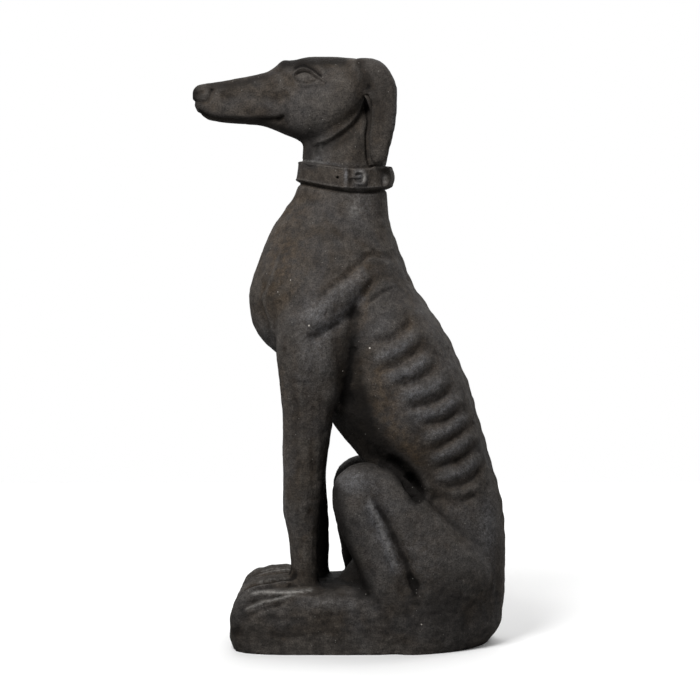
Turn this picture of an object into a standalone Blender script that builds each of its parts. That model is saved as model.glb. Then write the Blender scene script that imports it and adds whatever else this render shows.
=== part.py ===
"""A seated greyhound, cast in one piece with its collar, its paws and the block of feet it sits on.

The hound looks along -X and its left side faces -Y. The origin is on the ground, below the
middle of the statue. The forms are written in grains: a grain is the height divided by 760, so
each number below is a millimetre on a statue 760 mm tall.
"""

import math

import bmesh
import bpy
import numpy as np
from mathutils import Matrix

# Driving dimensions, in metres
HEIGHT = 0.760
COLLAR_WIDTH = 0.027
COLLAR_PROUD = 0.0048
COLLAR_EDGE = 0.0016
BUCKLE_WIDTH = 0.021
BUCKLE_HEIGHT = 0.024
BUCKLE_BAR = 0.0052
BUCKLE_PROUD = 0.0034
KEEPER_WIDTH = 0.014
KEEPER_PROUD = 0.0060
STRAP_HOLE = 0.0038
RIB_DEPTH = 0.0060
RIB_REACH = 0.0064
RIB_COUNT = 8
CREASE_DEPTH = 0.0050
MOUTH_DEPTH = 0.0026
EYE_BULGE = 0.0036
TOE_GROOVE_DEPTH = 0.0058
TOE_GROOVE_REACH = 0.0042
NOTCH_DEPTH = 0.0130
SPINE_HEIGHT = 0.0018

# The figure's own unit, and how finely it is modelled
GRAIN = HEIGHT / 760.0
CUT_BELOW = 14.0
VOXEL = 3.0
RING_POINTS = 40
TRIANGLES = 9700

# Cast stone, dark charcoal with a little brown
STONE_COLOUR = (0.042, 0.037, 0.034, 1.0)
STONE_ROUGHNESS = 0.82

# Neck, chest, flank and rump as level slices:
# height, front, back, half width, squareness, egg (above 0 is wider behind)
TRUNK = (
    (712, -34, 30, 24, 2.0, 0.0),
    (690, -52, 38, 32, 2.0, 0.0),
    (665, -60, 43, 35, 2.0, 0.0),
    (640, -61, 46, 36, 2.0, 0.0),
    (605, -64, 48, 38, 2.0, 0.0),
    (582, -71, 48.5, 40, 2.0, 0.05),
    (560, -86, 49, 45, 2.0, 0.10),
    (540, -99, 53, 52, 2.1, 0.10),
    (514, -111, 61, 61, 2.1, 0.08),
    (488, -120, 70, 70, 2.2, 0.05),
    (462, -128.5, 81, 78, 2.2, 0.02),
    (449, -130.5, 90, 81, 2.2, 0.02),
    (430, -129, 104, 83, 2.2, 0.08),
    (410, -125, 117, 84, 2.2, 0.12),
    (397, -118, 125, 84, 2.2, 0.15),
    (384, -106, 132, 83, 2.1, 0.18),
    (371, -90, 137.5, 82, 2.1, 0.18),
    (345, -62, 149, 81, 2.1, 0.18),
    (319, -41, 158, 79, 2.1, 0.15),
    (285, -23, 167, 76, 2.1, 0.10),
    (260, -4, 175, 73, 2.1, 0.06),
    (244, 10, 179, 69, 2.1, 0.04),
    (222, 24, 186, 65, 2.1, 0.0),
    (200, 32, 192.5, 63, 2.1, 0.0),
    (172, 38, 198, 66, 2.1, 0.0),
    (140, 40, 201.5, 76, 2.0, -0.05),
    (110, 42, 202.5, 82, 2.0, -0.10),
    (60, 42, 201, 84, 1.9, -0.15),
    (20, 42, 195, 84, 1.8, -0.15),
    (0, 42, 180, 84, 1.8, -0.15),
    (-CUT_BELOW, 42, 171, 82, 1.8, -0.15),
)

# The haunches where they meet the ground, seen from above a broad wedge, as level slices
SEAT = (
    (128, 20, 150, 66, 2.0, 0.0),
    (105, 4, 186, 94, 1.9, 0.0),
    (70, -20, 199, 106, 1.75, 0.0),
    (30, -26, 199, 109, 1.7, 0.0),
    (10, -26, 188, 109, 1.7, 0.0),
    (0, -24, 177, 109, 1.7, 0.0),
    (-CUT_BELOW, -24, 168, 107.5, 1.7, 0.0),
)

# The block of feet in front of the haunches, as level slices
FEET_BLOCK = (
    (79, -118, 70, 78, 3.2, 0.0),
    (76, -130, 82, 96, 3.6, 0.0),
    (68, -138, 92, 104, 4.2, 0.0),
    (55, -146, 96, 108, 4.6, 0.0),
    (40, -153, 98, 109, 4.8, 0.0),
    (12, -153.5, 98, 109, 4.8, 0.0),
    (2, -150, 96, 109, 4.6, 0.0),
    (-CUT_BELOW, -144, 92, 107.5, 4.4, 0.0),
)

# Head as upright slices from nose to back of skull:
# place along X, top, underside, half width, squareness, egg (below 0 is wider at the lip)
HEAD = (
    (-205.5, 714, 706, 4, 2.0, 0.0),
    (-203.5, 719, 701, 8.5, 2.2, 0.0),
    (-200, 723, 692, 12, 2.4, 0.0),
    (-195, 725, 684, 14, 2.4, 0.0),
    (-185, 726.5, 677.5, 16, 2.4, -0.06),
    (-170, 728.5, 674.5, 17.5, 2.4, -0.10),
    (-154, 731.5, 673, 18.5, 2.4, -0.12),
    (-138, 734.2, 672, 20, 2.4, -0.12),
    (-123, 737.2, 671.5, 22, 2.4, -0.12),
    (-107, 741, 669, 25.5, 2.3, -0.10),
    (-99, 745.5, 666, 28.5, 2.3, -0.08),
    (-91, 752.5, 662.5, 32, 2.3, -0.04),
    (-83, 755, 659.5, 35, 2.3, 0.0),
    (-68, 756.5, 653, 40, 2.3, 0.0),
    (-52, 760, 645.5, 43.5, 2.3, -0.02),
    (-34, 760, 646.5, 46.5, 2.3, -0.04),
    (-15, 759.5, 656, 48, 2.3, -0.02),
    (2, 758, 669, 47, 2.2, 0.0),
    (14, 756, 684, 44, 2.2, 0.04),
    (28, 750, 697, 36, 2.1, 0.04),
    (42, 738, 706, 24, 2.0, 0.0),
    (49, 728, 714, 12, 2.0, 0.0),
)

# Hanging ear as level slices: height, front, back, middle of its thickness, half thickness
EAR = (
    (755, 12, 26, 24, 6),
    (751, 3, 38, 29, 10),
    (742, 2, 47.5, 36, 12),
    (729, 9, 55.5, 41.5, 11),
    (714, 16, 60.5, 43.5, 9.5),
    (700, 20.5, 61, 43.5, 9),
    (688, 25, 60.5, 43, 9),
    (672, 26.5, 59.5, 42.5, 9),
    (657, 24.5, 56.5, 42, 9),
    (642, 24, 52, 41, 8.5),
    (628, 25.5, 49.5, 40, 8),
    (620, 28, 47, 39, 7),
    (616.5, 32, 43, 38, 4),
)

# Foreleg from shoulder to paw as level slices: height, front, back, middle of leg, half width
FORELEG = (
    (470, -72, -20, 48, 14),
    (440, -86, -6, 55, 27),
    (405, -93, -5, 59, 31),
    (371, -93, -8, 59, 31),
    (345, -90, -9.5, 56.5, 29),
    (322, -88, -11.5, 53.5, 26.5),
    (308, -87, -20, 51.5, 24.5),
    (285, -85.5, -22.5, 49.5, 23),
    (256, -85, -26.5, 48, 22),
    (218, -85, -31.5, 46.5, 21),
    (196, -85, -33, 46, 20.5),
    (180, -85, -35.5, 46, 20.5),
    (161, -83, -38.5, 45.5, 20),
    (137, -78, -40, 45.5, 19.5),
    (104, -75, -40, 45.5, 19),
    (80, -77, -39, 46, 19.5),
    (50, -78, -38, 46, 20),
)
FAR_LEG_BACK = 12.0
FAR_LEG_FULL_BELOW = 150.0
FAR_LEG_EVEN_ABOVE = 205.0
FAR_SHIN_FORWARD = 22.0
FAR_SHIN_FULL_BELOW = 95.0
FAR_SHIN_EVEN_ABOVE = 170.0

# Shin from knee to heel as level slices: height, front, back, middle of shin, half width
SHIN = (
    (236, 10, 30, 78, 12),
    (230, -4, 40, 80, 21),
    (218, -16, 45, 81.5, 25.5),
    (203, -21.5, 43, 82, 27),
    (185, -21.5, 38, 82, 27.5),
    (168, -18, 39, 82, 27.5),
    (142, -9, 53, 82, 27.5),
    (108, 8, 65, 82, 27),
    (80, 18, 76, 81, 27.5),
    (45, 30, 90, 80, 28),
    (10, 34, 98, 78, 28),
)

# Thigh from knee to hip: place along X, height, half depth, middle of thigh, half thickness
THIGH = (
    (22, 220, 12, 80, 14),
    (27, 213, 25, 80, 23),
    (35, 203, 33, 80, 27),
    (51, 184, 37, 79.5, 29),
    (68, 162, 40, 77.5, 31),
    (85, 134, 46, 74, 33),
    (100, 110, 54, 69, 37),
    (120, 84, 60, 60, 40),
    (138, 60, 56, 48, 40),
    (152, 45, 40, 36, 36),
)

# Forepaw lying on the block of feet: place along X, top, middle of paw, half width
PAW = (
    (-34, 66, 46, 16),
    (-44, 84, 46, 22),
    (-60, 90, 47, 25),
    (-85, 91, 49, 29),
    (-108, 88.5, 52, 33),
    (-122, 84.5, 55, 37),
    (-135, 77.5, 56, 39),
    (-143, 65, 57, 38),
    (-149, 50, 57, 32),
)
PAW_UNDERSIDE = 20.0

# The tail lies against the right haunch: points on the ground plan, and its half thickness
TAIL = (
    (158, 4, 20),
    (172, 24, 18),
    (167, 47, 16),
    (149, 66, 14.5),
    (124, 82, 13.5),
    (96, 93, 12.5),
    (66, 99, 10.5),
    (38, 101, 7),
)
TAIL_HEIGHT = 15.0


def clear_scene():
    for old in list(bpy.data.objects):
        bpy.data.objects.remove(old, do_unlink=True)


def eased(keys, values, places):
    """Values at the places, on a smooth curve through the keys that never overshoots them."""
    order = np.argsort(keys)
    keys = np.asarray(keys, float)[order]
    values = np.asarray(values, float)[order]
    steps = np.diff(keys)
    slopes = np.diff(values) / steps
    tangents = np.zeros(len(keys))
    tangents[0] = slopes[0]
    tangents[-1] = slopes[-1]
    same_way = slopes[:-1] * slopes[1:] > 0
    mean = 2.0 * slopes[:-1] * slopes[1:] / np.where(same_way, slopes[:-1] + slopes[1:], 1.0)
    tangents[1:-1] = np.where(same_way, mean, 0.0)
    index = np.clip(np.searchsorted(keys, places) - 1, 0, len(steps) - 1)
    t = (places - keys[index]) / steps[index]
    rise = steps[index]
    return (
        values[index] * (1 + 2 * t) * (1 - t) ** 2
        + tangents[index] * rise * t * (1 - t) ** 2
        + values[index + 1] * t**2 * (3 - 2 * t)
        + tangents[index + 1] * rise * t**2 * (t - 1)
    )


def filled_in(table, gap):
    """The table's rows, with more of them in between so that no two are further apart than gap."""
    table = np.array(table, float)
    span = abs(table[-1, 0] - table[0, 0])
    count = max(2, int(math.ceil(span / gap)) + 1)
    ends = (1 - np.cos(np.linspace(0.0, math.pi, 9))) / 2
    places = np.unique(np.concatenate((np.linspace(0, 1, count), ends * 0.02, 1 - ends * 0.02)))
    places = table[0, 0] + places * (table[-1, 0] - table[0, 0])
    columns = [eased(table[:, 0], table[:, i], places) for i in range(1, table.shape[1])]
    return np.column_stack([places] + columns)


def flowing(points, gap):
    """Points about a gap apart on a smooth curve through the given ones."""
    points = np.array(points, float)
    before = 2 * points[0] - points[1]
    after = 2 * points[-1] - points[-2]
    padded = np.vstack((before, points, after))
    found = []
    for i in range(1, len(padded) - 2):
        p0, p1, p2, p3 = padded[i - 1 : i + 3]
        count = max(1, int(np.linalg.norm(p2 - p1) / gap))
        for t in np.arange(count) / count:
            found.append(
                0.5 * (2 * p1 + (p2 - p0) * t + (2 * p0 - 5 * p1 + 4 * p2 - p3) * t**2
                       + (3 * p1 - p0 - 3 * p2 + p3) * t**3)
            )
    found.append(points[-1])
    return np.array(found)


def ring(centre, along, across, square=2.0, egg=0.0):
    """A superellipse about the centre, with its half sizes as two vectors."""
    turn = np.linspace(0.0, 2 * math.pi, RING_POINTS, endpoint=False)
    c = np.cos(turn)
    s = np.sin(turn)
    u = np.sign(c) * np.abs(c) ** (2 / square)
    v = np.sign(s) * np.abs(s) ** (2 / square) * (1 + egg * u)
    return np.array(centre) + u[:, None] * np.array(along) + v[:, None] * np.array(across)


def add_skin(rough, rings):
    """One closed skin through the rings, capped at both ends."""
    rows = [[rough.verts.new(point * GRAIN) for point in points] for points in rings]
    faces = [rough.faces.new(rows[0][::-1]), rough.faces.new(rows[-1])]
    for low, high in zip(rows, rows[1:]):
        for i in range(len(low)):
            j = (i + 1) % len(low)
            faces.append(rough.faces.new((low[i], low[j], high[j], high[i])))
    bmesh.ops.recalc_face_normals(rough, faces=faces)


def level_form(rough, table, gap=6.0):
    """A form about the middle plane, from level slices."""
    rings = [
        ring(((front + back) / 2, 0, z), ((back - front) / 2, 0, 0), (0, half, 0), square, egg)
        for z, front, back, half, square, egg in filled_in(table, gap)
    ]
    add_skin(rough, rings)


def side_form(rough, table, side, square=2.2, shift=None, gap=5.0):
    """A form on one side of the middle plane, from level slices."""
    rings = []
    for z, front, back, middle, half in filled_in(table, gap):
        moved = shift(z) if shift else 0.0
        centre = ((front + back) / 2 + moved, side * middle, z)
        rings.append(ring(centre, ((back - front) / 2, 0, 0), (0, half, 0), square))
    add_skin(rough, rings)


def make_head(rough):
    rings = [
        ring((x, 0, (top + under) / 2), (0, 0, (top - under) / 2), (0, half, 0), square, egg)
        for x, top, under, half, square, egg in filled_in(HEAD, 4.0)
    ]
    add_skin(rough, rings)


def make_thigh(rough, side):
    route = flowing(THIGH, 5.0)
    rings = []
    for i, (x, z, depth, middle, half) in enumerate(route):
        ahead = route[min(i + 1, len(route) - 1)]
        behind = route[max(i - 1, 0)]
        way = np.array((ahead[0] - behind[0], ahead[1] - behind[1]))
        way /= np.linalg.norm(way)
        rings.append(ring((x, side * middle, z), (-way[1] * depth, 0, way[0] * depth), (0, half, 0)))
    add_skin(rough, rings)


def make_paw(rough, side):
    rings = []
    for x, top, middle, half in filled_in(PAW, 4.0):
        centre = (x, side * middle, (top + PAW_UNDERSIDE) / 2)
        rings.append(ring(centre, (0, 0, (top - PAW_UNDERSIDE) / 2), (0, half, 0), 2.6))
    add_skin(rough, rings)


def make_tail(rough):
    route = flowing(TAIL, 6.0)
    rings = []
    for i, (x, y, half) in enumerate(route):
        ahead = route[min(i + 1, len(route) - 1)]
        behind = route[max(i - 1, 0)]
        way = np.array((ahead[0] - behind[0], ahead[1] - behind[1]))
        way /= np.linalg.norm(way)
        rings.append(ring((x, y, TAIL_HEIGHT), (way[1] * half, -way[0] * half, 0), (0, 0, half)))
    add_skin(rough, rings)


def far_leg_shift(z):
    """The right foreleg stands a little further back than the left towards the paw."""
    share = (FAR_LEG_EVEN_ABOVE - z) / (FAR_LEG_EVEN_ABOVE - FAR_LEG_FULL_BELOW)
    return FAR_LEG_BACK * min(1.0, max(0.0, share))


def far_shin_shift(z):
    """The right shin stands a little further forward than the left towards the heel."""
    share = (FAR_SHIN_EVEN_ABOVE - z) / (FAR_SHIN_EVEN_ABOVE - FAR_SHIN_FULL_BELOW)
    return -FAR_SHIN_FORWARD * min(1.0, max(0.0, share))


def object_from(name, mesh, collection):
    made = bpy.data.objects.new(name, mesh)
    collection.objects.link(made)
    return made


def applied(made):
    """The object's mesh with its modifiers applied."""
    bpy.context.view_layer.update()
    evaluated = made.evaluated_get(bpy.context.evaluated_depsgraph_get())
    result = bpy.data.meshes.new_from_object(evaluated)
    made.modifiers.clear()
    made.data = result
    return result


def rough_figure(collection):
    """The main forms, run together into one closed skin of small squares."""
    rough = bmesh.new()
    level_form(rough, TRUNK)
    level_form(rough, SEAT, 4.0)
    level_form(rough, FEET_BLOCK, 3.0)
    make_head(rough)
    make_tail(rough)
    for side in (-1, 1):
        side_form(rough, EAR, side, square=2.3, gap=4.0)
        side_form(rough, FORELEG, side, shift=far_leg_shift if side > 0 else None)
        side_form(rough, SHIN, side, shift=far_shin_shift if side > 0 else None)
        make_thigh(rough, side)
        make_paw(rough, side)
    mesh = bpy.data.meshes.new("greyhound")
    rough.to_mesh(mesh)
    rough.free()
    figure = object_from("greyhound", mesh, collection)
    remesh = figure.modifiers.new("run together", "REMESH")
    remesh.mode = "VOXEL"
    remesh.voxel_size = VOXEL * GRAIN
    applied(figure)
    return figure


class Skin:
    """The points of a mesh in grains, with what is to be raised or sunk at each."""

    def __init__(self, mesh):
        count = len(mesh.vertices)
        places = np.empty(count * 3)
        mesh.vertices.foreach_get("co", places)
        self.mesh = mesh
        self.points = places.reshape(-1, 3) / GRAIN
        ends = np.empty(len(mesh.edges) * 2, dtype=np.int64)
        mesh.edges.foreach_get("vertices", ends)
        self.ends = ends.reshape(-1, 2)
        self.lift = np.zeros(count)
        self.read_normals()

    def read_normals(self):
        normals = np.empty(len(self.points) * 3)
        self.mesh.vertices.foreach_get("normal", normals)
        self.normals = normals.reshape(-1, 3)

    def write(self):
        self.mesh.vertices.foreach_set("co", (self.points * GRAIN).ravel())
        self.mesh.update()
        self.read_normals()

    def raise_lifted(self):
        self.points = self.points + self.normals * self.lift[:, None]
        self.lift[:] = 0.0
        self.write()

    def soften(self, rounds, share):
        """Moves each point towards the mean of its neighbours, by its own share."""
        a, b = self.ends.T
        count = len(self.points)
        degree = np.bincount(a, minlength=count) + np.bincount(b, minlength=count)
        for _ in range(rounds):
            mean = np.empty_like(self.points)
            for axis in range(3):
                values = self.points[:, axis]
                total = np.bincount(a, values[b], count) + np.bincount(b, values[a], count)
                mean[:, axis] = total / degree
            self.points = self.points + (mean - self.points) * share[:, None]

    def flank(self):
        """How far each point faces outwards to its own side, 0 to 1."""
        outwards = self.normals[:, 1] * np.sign(self.points[:, 1])
        return np.clip((outwards - 0.10) / 0.35, 0.0, 1.0)

    def line(self, route, height, left, right=None, ends=0.12, flank=True):
        """Raises or sinks a strip along a route on the side view. Left and right are its reaches."""
        path = flowing(route, 2.5)
        right = left if right is None else right
        reach = 2.6 * max(left, right)
        low = path.min(axis=0) - reach
        high = path.max(axis=0) + reach
        flat = self.points[:, [0, 2]]
        chosen = np.nonzero(np.all((flat > low) & (flat < high), axis=1))[0]
        distance, share, side = trace(path, flat[chosen])
        width = np.where(side > 0, left, right)
        taper = np.clip(np.minimum(share, 1 - share) / max(ends, 1e-6), 0.0, 1.0)
        taper = taper * taper * (3 - 2 * taper)
        amount = height * np.exp(-((distance / width) ** 2)) * taper
        if flank:
            amount = amount * self.flank()[chosen]
        self.lift[chosen] += amount

    def swell(self, centre, radii, height, flank=False):
        """Raises or sinks an oval patch, on both sides of the middle plane."""
        x, y, z = centre
        a, b, c = radii
        points = self.points
        far = ((points[:, 0] - x) / a) ** 2
        far = far + ((np.abs(points[:, 1]) - y) / b) ** 2 + ((points[:, 2] - z) / c) ** 2
        amount = height * np.exp(-far)
        self.lift += amount * self.flank() if flank else amount


def trace(path, flat):
    """For each flat point: the distance to the path, how far along it that is, and which side."""
    best = np.full(len(flat), np.inf)
    share = np.zeros(len(flat))
    side = np.zeros(len(flat))
    steps = np.diff(path, axis=0)
    lengths = np.linalg.norm(steps, axis=1)
    walked = np.concatenate(([0.0], np.cumsum(lengths)))
    for start, step, length, before in zip(path, steps, lengths, walked):
        offset = flat - start
        t = np.clip(offset @ step / length**2, 0.0, 1.0)
        distance = np.linalg.norm(offset - t[:, None] * step, axis=1)
        near = distance < best
        best[near] = distance[near]
        share[near] = (before + t[near] * length) / walked[-1]
        side[near] = np.sign(step[0] * offset[near, 1] - step[1] * offset[near, 0])
    return best, share, side


def soften_joints(skin):
    """Fillets where the forms meet: strong on the body, light on head, ears and paws."""
    z = skin.points[:, 2]
    share = np.full(len(z), 0.55)
    skin.soften(5, share)
    body = np.clip((600 - z) / 60, 0.0, 1.0) * np.clip((z - 90) / 40, 0.0, 1.0)
    notch = np.exp(-(((skin.points[:, 0] - 75) / 38) ** 2) - ((z - 208) / 34) ** 2)
    skin.soften(15, 0.55 * body * (1 - 0.85 * notch))
    skin.write()
    skin.lift += 0.4 + 0.6 * body
    skin.raise_lifted()


# Routes on the side view, from front to back or from the top down
SHOULDER_CREASE = ((57, 494), (40, 498), (24, 498), (12, 487), (-8, 469), (-24, 457), (-41, 443))
SHOULDER_BAND = ((27, 481), (2, 459), (-25, 439), (-53, 408))
SHOULDER_HOLLOW = ((33, 474), (22, 454), (5, 431), (-17, 411), (-38, 398), (-57, 390))
SHOULDER_BLADE = ((57, 457), (44, 452), (30, 444), (18, 433))
BEHIND_ARM = ((10, 440), (2, 410), (0, 370), (-4, 330), (-10, 300))
CHEST_EDGE = ((-85, 519), (-89, 500), (-96, 478), (-106, 452), (-109, 438), (-99, 409), (-92, 380))
NOTCH = ((40, 243), (54, 234), (68, 220), (80, 205), (92, 187))
FLANK_FOLD = ((165, 196), (138, 186), (115, 192), (100, 190))
SHIN_CREASE = (
    (26, 202), (30, 195), (39, 177), (48, 161), (56, 143), (67, 120), (75, 98), (82, 74), (86, 54),
)
SHIN_RIDGE = ((22, 197), (27, 187), (34, 173), (40, 161), (48, 145), (56, 124), (64, 106), (72, 84))
LEG_EDGE = ((-71, 396), (-69, 341), (-69, 290), (-69, 230))
MOUTH = (
    (-196, 690), (-190, 685), (-184, 681.5), (-171, 678.5),
    (-141, 677), (-110, 677), (-92, 677.5), (-82, 680),
)
NOSE_PAD = ((-206, 701), (-198, 700), (-189, 699), (-183, 702), (-179, 709), (-177, 718))
JAW_EDGE = ((19, 705), (14, 688), (5, 672), (-12, 658), (-32, 646), (-55, 642))
EAR_FOLD = (
    (2, 752), (4, 744), (12, 727), (17, 713), (20, 702), (25, 689),
    (26, 672), (23, 657), (23, 637), (26, 621),
)


def carve_trunk(skin):
    crease = CREASE_DEPTH / GRAIN
    # The shoulder: a crease above it, its raised band, and the hollows below and behind it
    skin.line(SHOULDER_CREASE, -0.7 * crease, 4, 5)
    skin.line(SHOULDER_BAND, 1.1 * crease, 15, 13)
    skin.line(SHOULDER_HOLLOW, -0.9 * crease, 8, 6)
    skin.line(SHOULDER_BLADE, -0.4 * crease, 3.5)
    skin.swell((14, 84, 400), (22, 40, 50), -1.8 * crease, flank=True)
    skin.line(BEHIND_ARM, -crease, 16, 6)
    # The edge between the front and the side of the chest
    skin.line(CHEST_EDGE, 0.3 * crease, 4, 4)
    carve_ribs(skin)
    # The deep notch between thigh and belly, and the fold of the flank above the thigh
    skin.line(NOTCH, -NOTCH_DEPTH / GRAIN, 8, 4.5, ends=0.22)
    skin.line(FLANK_FOLD, -0.6 * crease, 6)
    # The spine, a low ridge between two shallow hollows
    x, y, z = skin.points.T
    rear = np.clip((skin.normals[:, 0] - 0.25) / 0.4, 0, 1)
    rear = rear * np.clip((z - 110) / 60, 0, 1) * np.clip((560 - z) / 60, 0, 1)
    ridge = np.exp(-((y / 7) ** 2))
    hollows = np.exp(-(((np.abs(y) - 19) / 9) ** 2))
    skin.lift += rear * SPINE_HEIGHT / GRAIN * (ridge - 0.85 * hollows)


def carve_ribs(skin):
    """Grooves between the ribs: each starts at the back and runs down and forwards."""
    for i in range(RIB_COUNT):
        share = i / (RIB_COUNT - 1)
        uneven = 1 if i % 2 else -1
        length = 60 + 6 * uneven
        drop = 33 + 4 * uneven
        x = 80 + 92 * share
        z = 421 - 186 * share
        route = (
            (x, z),
            (x - 0.27 * length, z - 0.55 * drop),
            (x - 0.58 * length, z - 0.88 * drop),
            (x - length, z - drop),
        )
        skin.line(route, -RIB_DEPTH / GRAIN, RIB_REACH / GRAIN, ends=0.30)


def carve_limbs(skin):
    crease = CREASE_DEPTH / GRAIN
    # Where the shin lies against the thigh, with the shin's edge in front of the crease
    skin.line(SHIN_CREASE, -1.1 * crease, 6.5, 4.6, ends=0.22)
    skin.line(SHIN_RIDGE, 0.4 * crease, 2.6, 5, ends=0.14)
    # The long edge down the front of the foreleg
    skin.line(LEG_EDGE, -0.25 * crease, 5)


def carve_toes(skin):
    """Grooves fan out over each forepaw and run down its front."""
    x, y, z = skin.points.T
    front = np.clip((-62 - x) / 30, 0.0, 1.0)
    front = front * np.clip((z - 16) / 14, 0.0, 1.0) * np.clip((102 - z) / 10, 0.0, 1.0)
    reach = np.clip((-55 - x) / 95, 0.0, 1.0)
    for spread in (-1.0, 0.0, 1.0):
        route = 48 + 9 * spread + (10 + 12 * spread) * reach
        distance = np.abs(np.abs(y) - route) / (TOE_GROOVE_REACH / GRAIN)
        skin.lift -= TOE_GROOVE_DEPTH / GRAIN * front * np.exp(-(distance**2))


def carve_head(skin):
    mouth = MOUTH_DEPTH / GRAIN
    bulge = EYE_BULGE / GRAIN
    # The eye: socket, ball, lids and brow
    skin.swell((-58, 41, 731), (18, 16, 11), -0.9 * bulge, flank=True)
    skin.swell((-58, 41, 730), (11, 12, 5.4), 1.4 * bulge, flank=True)
    upper_lid = ((-73, 728), (-69, 735.5), (-61, 739), (-52, 737), (-43, 730), (-29, 720))
    skin.line(upper_lid, 0.9 * bulge, 1.9)
    skin.line(((-72, 740), (-63, 744.5), (-53, 743), (-44, 736.5), (-35, 727)), -0.6 * bulge, 2.2)
    skin.line(((-70, 747), (-60, 750), (-47, 747), (-38, 739)), 0.8 * bulge, 5)
    skin.line(((-73, 727), (-67, 723), (-58, 721), (-48, 722), (-38, 723)), 0.5 * bulge, 2.0)
    # Mouth, nose pad and nostril
    skin.line(MOUTH, -mouth, 2.2, ends=0.05, flank=False)
    skin.line(NOSE_PAD, -mouth, 2.4, ends=0.04, flank=False)
    skin.swell((-197, 9.5, 710), (3.0, 4.0, 3.0), -mouth)
    # The hollow along the muzzle and below the eye, and the full cheek
    skin.line(((-168, 706), (-140, 707), (-116, 705), (-92, 704), (-76, 708)), -0.8 * mouth, 8)
    skin.swell((-28, 48, 688), (30, 20, 26), 1.1 * mouth, flank=True)
    # The edge of the jaw, and the fold in front of the ear
    skin.line(JAW_EDGE, -1.4 * mouth, 4.5, 3.5)
    skin.line(EAR_FOLD, -0.9 * mouth, 3.2, ends=0.03)


def collar_middle(x):
    """The height of the strap's middle: it hangs lower at the sides of the neck than at the throat."""
    share = np.clip((x + 66) / 118, 0.0, 1.0)
    sag = 4 * share * (1 - share) * (1 + 0.5 * (share - 0.5))
    return 611.5 - 6.0 * share - 10.5 * sag


def step(distance, edge):
    """1 inside, falling to 0 over an edge outside zero distance."""
    t = np.clip(0.5 - distance / edge, 0.0, 1.0)
    return t * t * (3 - 2 * t)


def add_collar(skin):
    x, y, z = skin.points.T
    neck = (z > 570) & (z < 640)
    half = COLLAR_WIDTH / GRAIN / 2
    edge = COLLAR_EDGE / GRAIN
    above = z - collar_middle(x)
    strap = step(np.abs(above) - half, edge) * neck
    skin.lift += COLLAR_PROUD / GRAIN * strap
    # A hole punched in the strap, and the buckle, both on the left side
    left = y < 0
    hole_distance = np.hypot(x + 15, above)
    hole = STRAP_HOLE / GRAIN / 2
    skin.lift -= 0.7 * COLLAR_PROUD / GRAIN * step(hole_distance - hole, edge) * left * neck
    across = np.abs(x - 11) - BUCKLE_WIDTH / GRAIN / 2
    up = np.abs(above + 0.5) - BUCKLE_HEIGHT / GRAIN / 2
    outside = np.maximum(across, up)
    bar = BUCKLE_BAR / GRAIN
    frame = step(outside, edge) - step(outside + bar, edge)
    pin = step(np.abs(above) - bar / 3, edge) * step(across, edge)
    skin.lift += BUCKLE_PROUD / GRAIN * np.maximum(frame, pin) * left * neck
    # The keeper at the nape
    keeper = step(np.abs(y) - KEEPER_WIDTH / GRAIN / 2, 2 * edge) * (x > 20)
    skin.lift += KEEPER_PROUD / GRAIN * keeper * strap


def carve(figure):
    """Carves the figure. The fine net follows from one round of subdivision."""
    finer = figure.modifiers.new("finer", "SUBSURF")
    finer.levels = 1
    finer.render_levels = 1
    applied(figure)
    skin = Skin(figure.data)
    carve_trunk(skin)
    carve_limbs(skin)
    carve_toes(skin)
    carve_head(skin)
    add_collar(skin)
    skin.raise_lifted()


def thin_out(figure):
    """Fewer triangles, small where the carving needs them, then the flat underside."""
    thinner = figure.modifiers.new("thin out", "DECIMATE")
    thinner.use_collapse_triangulate = True
    thinner.ratio = TRIANGLES / (2.0 * len(figure.data.polygons))
    mesh = applied(figure)
    work = bmesh.new()
    work.from_mesh(mesh)
    everything = work.verts[:] + work.edges[:] + work.faces[:]
    cut = bmesh.ops.bisect_plane(
        work, geom=everything, dist=1e-7, plane_co=(0, 0, 0), plane_no=(0, 0, -1), clear_outer=True
    )
    corners = [item for item in cut["geom_cut"] if isinstance(item, bmesh.types.BMVert)]
    bmesh.ops.remove_doubles(work, verts=corners, dist=1e-5)
    rim = [edge for edge in work.edges if edge.is_boundary]
    bmesh.ops.contextual_create(work, geom=rim)
    bmesh.ops.triangulate(work, faces=work.faces[:])
    bmesh.ops.recalc_face_normals(work, faces=work.faces[:])
    work.to_mesh(mesh)
    work.free()


def centre_on_origin(figure):
    """Moves the figure so that the origin is below the middle of its length and width."""
    corners = np.array(figure.bound_box)
    middle = (corners.min(axis=0) + corners.max(axis=0)) / 2
    figure.data.transform(Matrix.Translation((-middle[0], -middle[1], 0.0)))


def stone():
    material = bpy.data.materials.new("cast stone")
    material.use_nodes = True
    surface = material.node_tree.nodes["Principled BSDF"]
    surface.inputs["Base Color"].default_value = STONE_COLOUR
    surface.inputs["Roughness"].default_value = STONE_ROUGHNESS
    surface.inputs["Metallic"].default_value = 0.0
    return material


def main():
    clear_scene()
    collection = bpy.data.collections.new("greyhound statue")
    bpy.context.scene.collection.children.link(collection)
    figure = rough_figure(collection)
    skin = Skin(figure.data)
    soften_joints(skin)
    carve(figure)
    thin_out(figure)
    centre_on_origin(figure)
    figure.data.shade_smooth()
    figure.data.set_sharp_from_angle(angle=math.radians(60))
    figure.data.materials.append(stone())


main()
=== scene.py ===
"""Looks of the seated greyhound: its fine carving, weathered stone, studio and camera.

Lengths are in grains, 1/760 of the statue's height, unless they are said to be in metres.
"""

import math

import bmesh
import bpy
import numpy as np
from mathutils import Matrix, Vector


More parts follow.
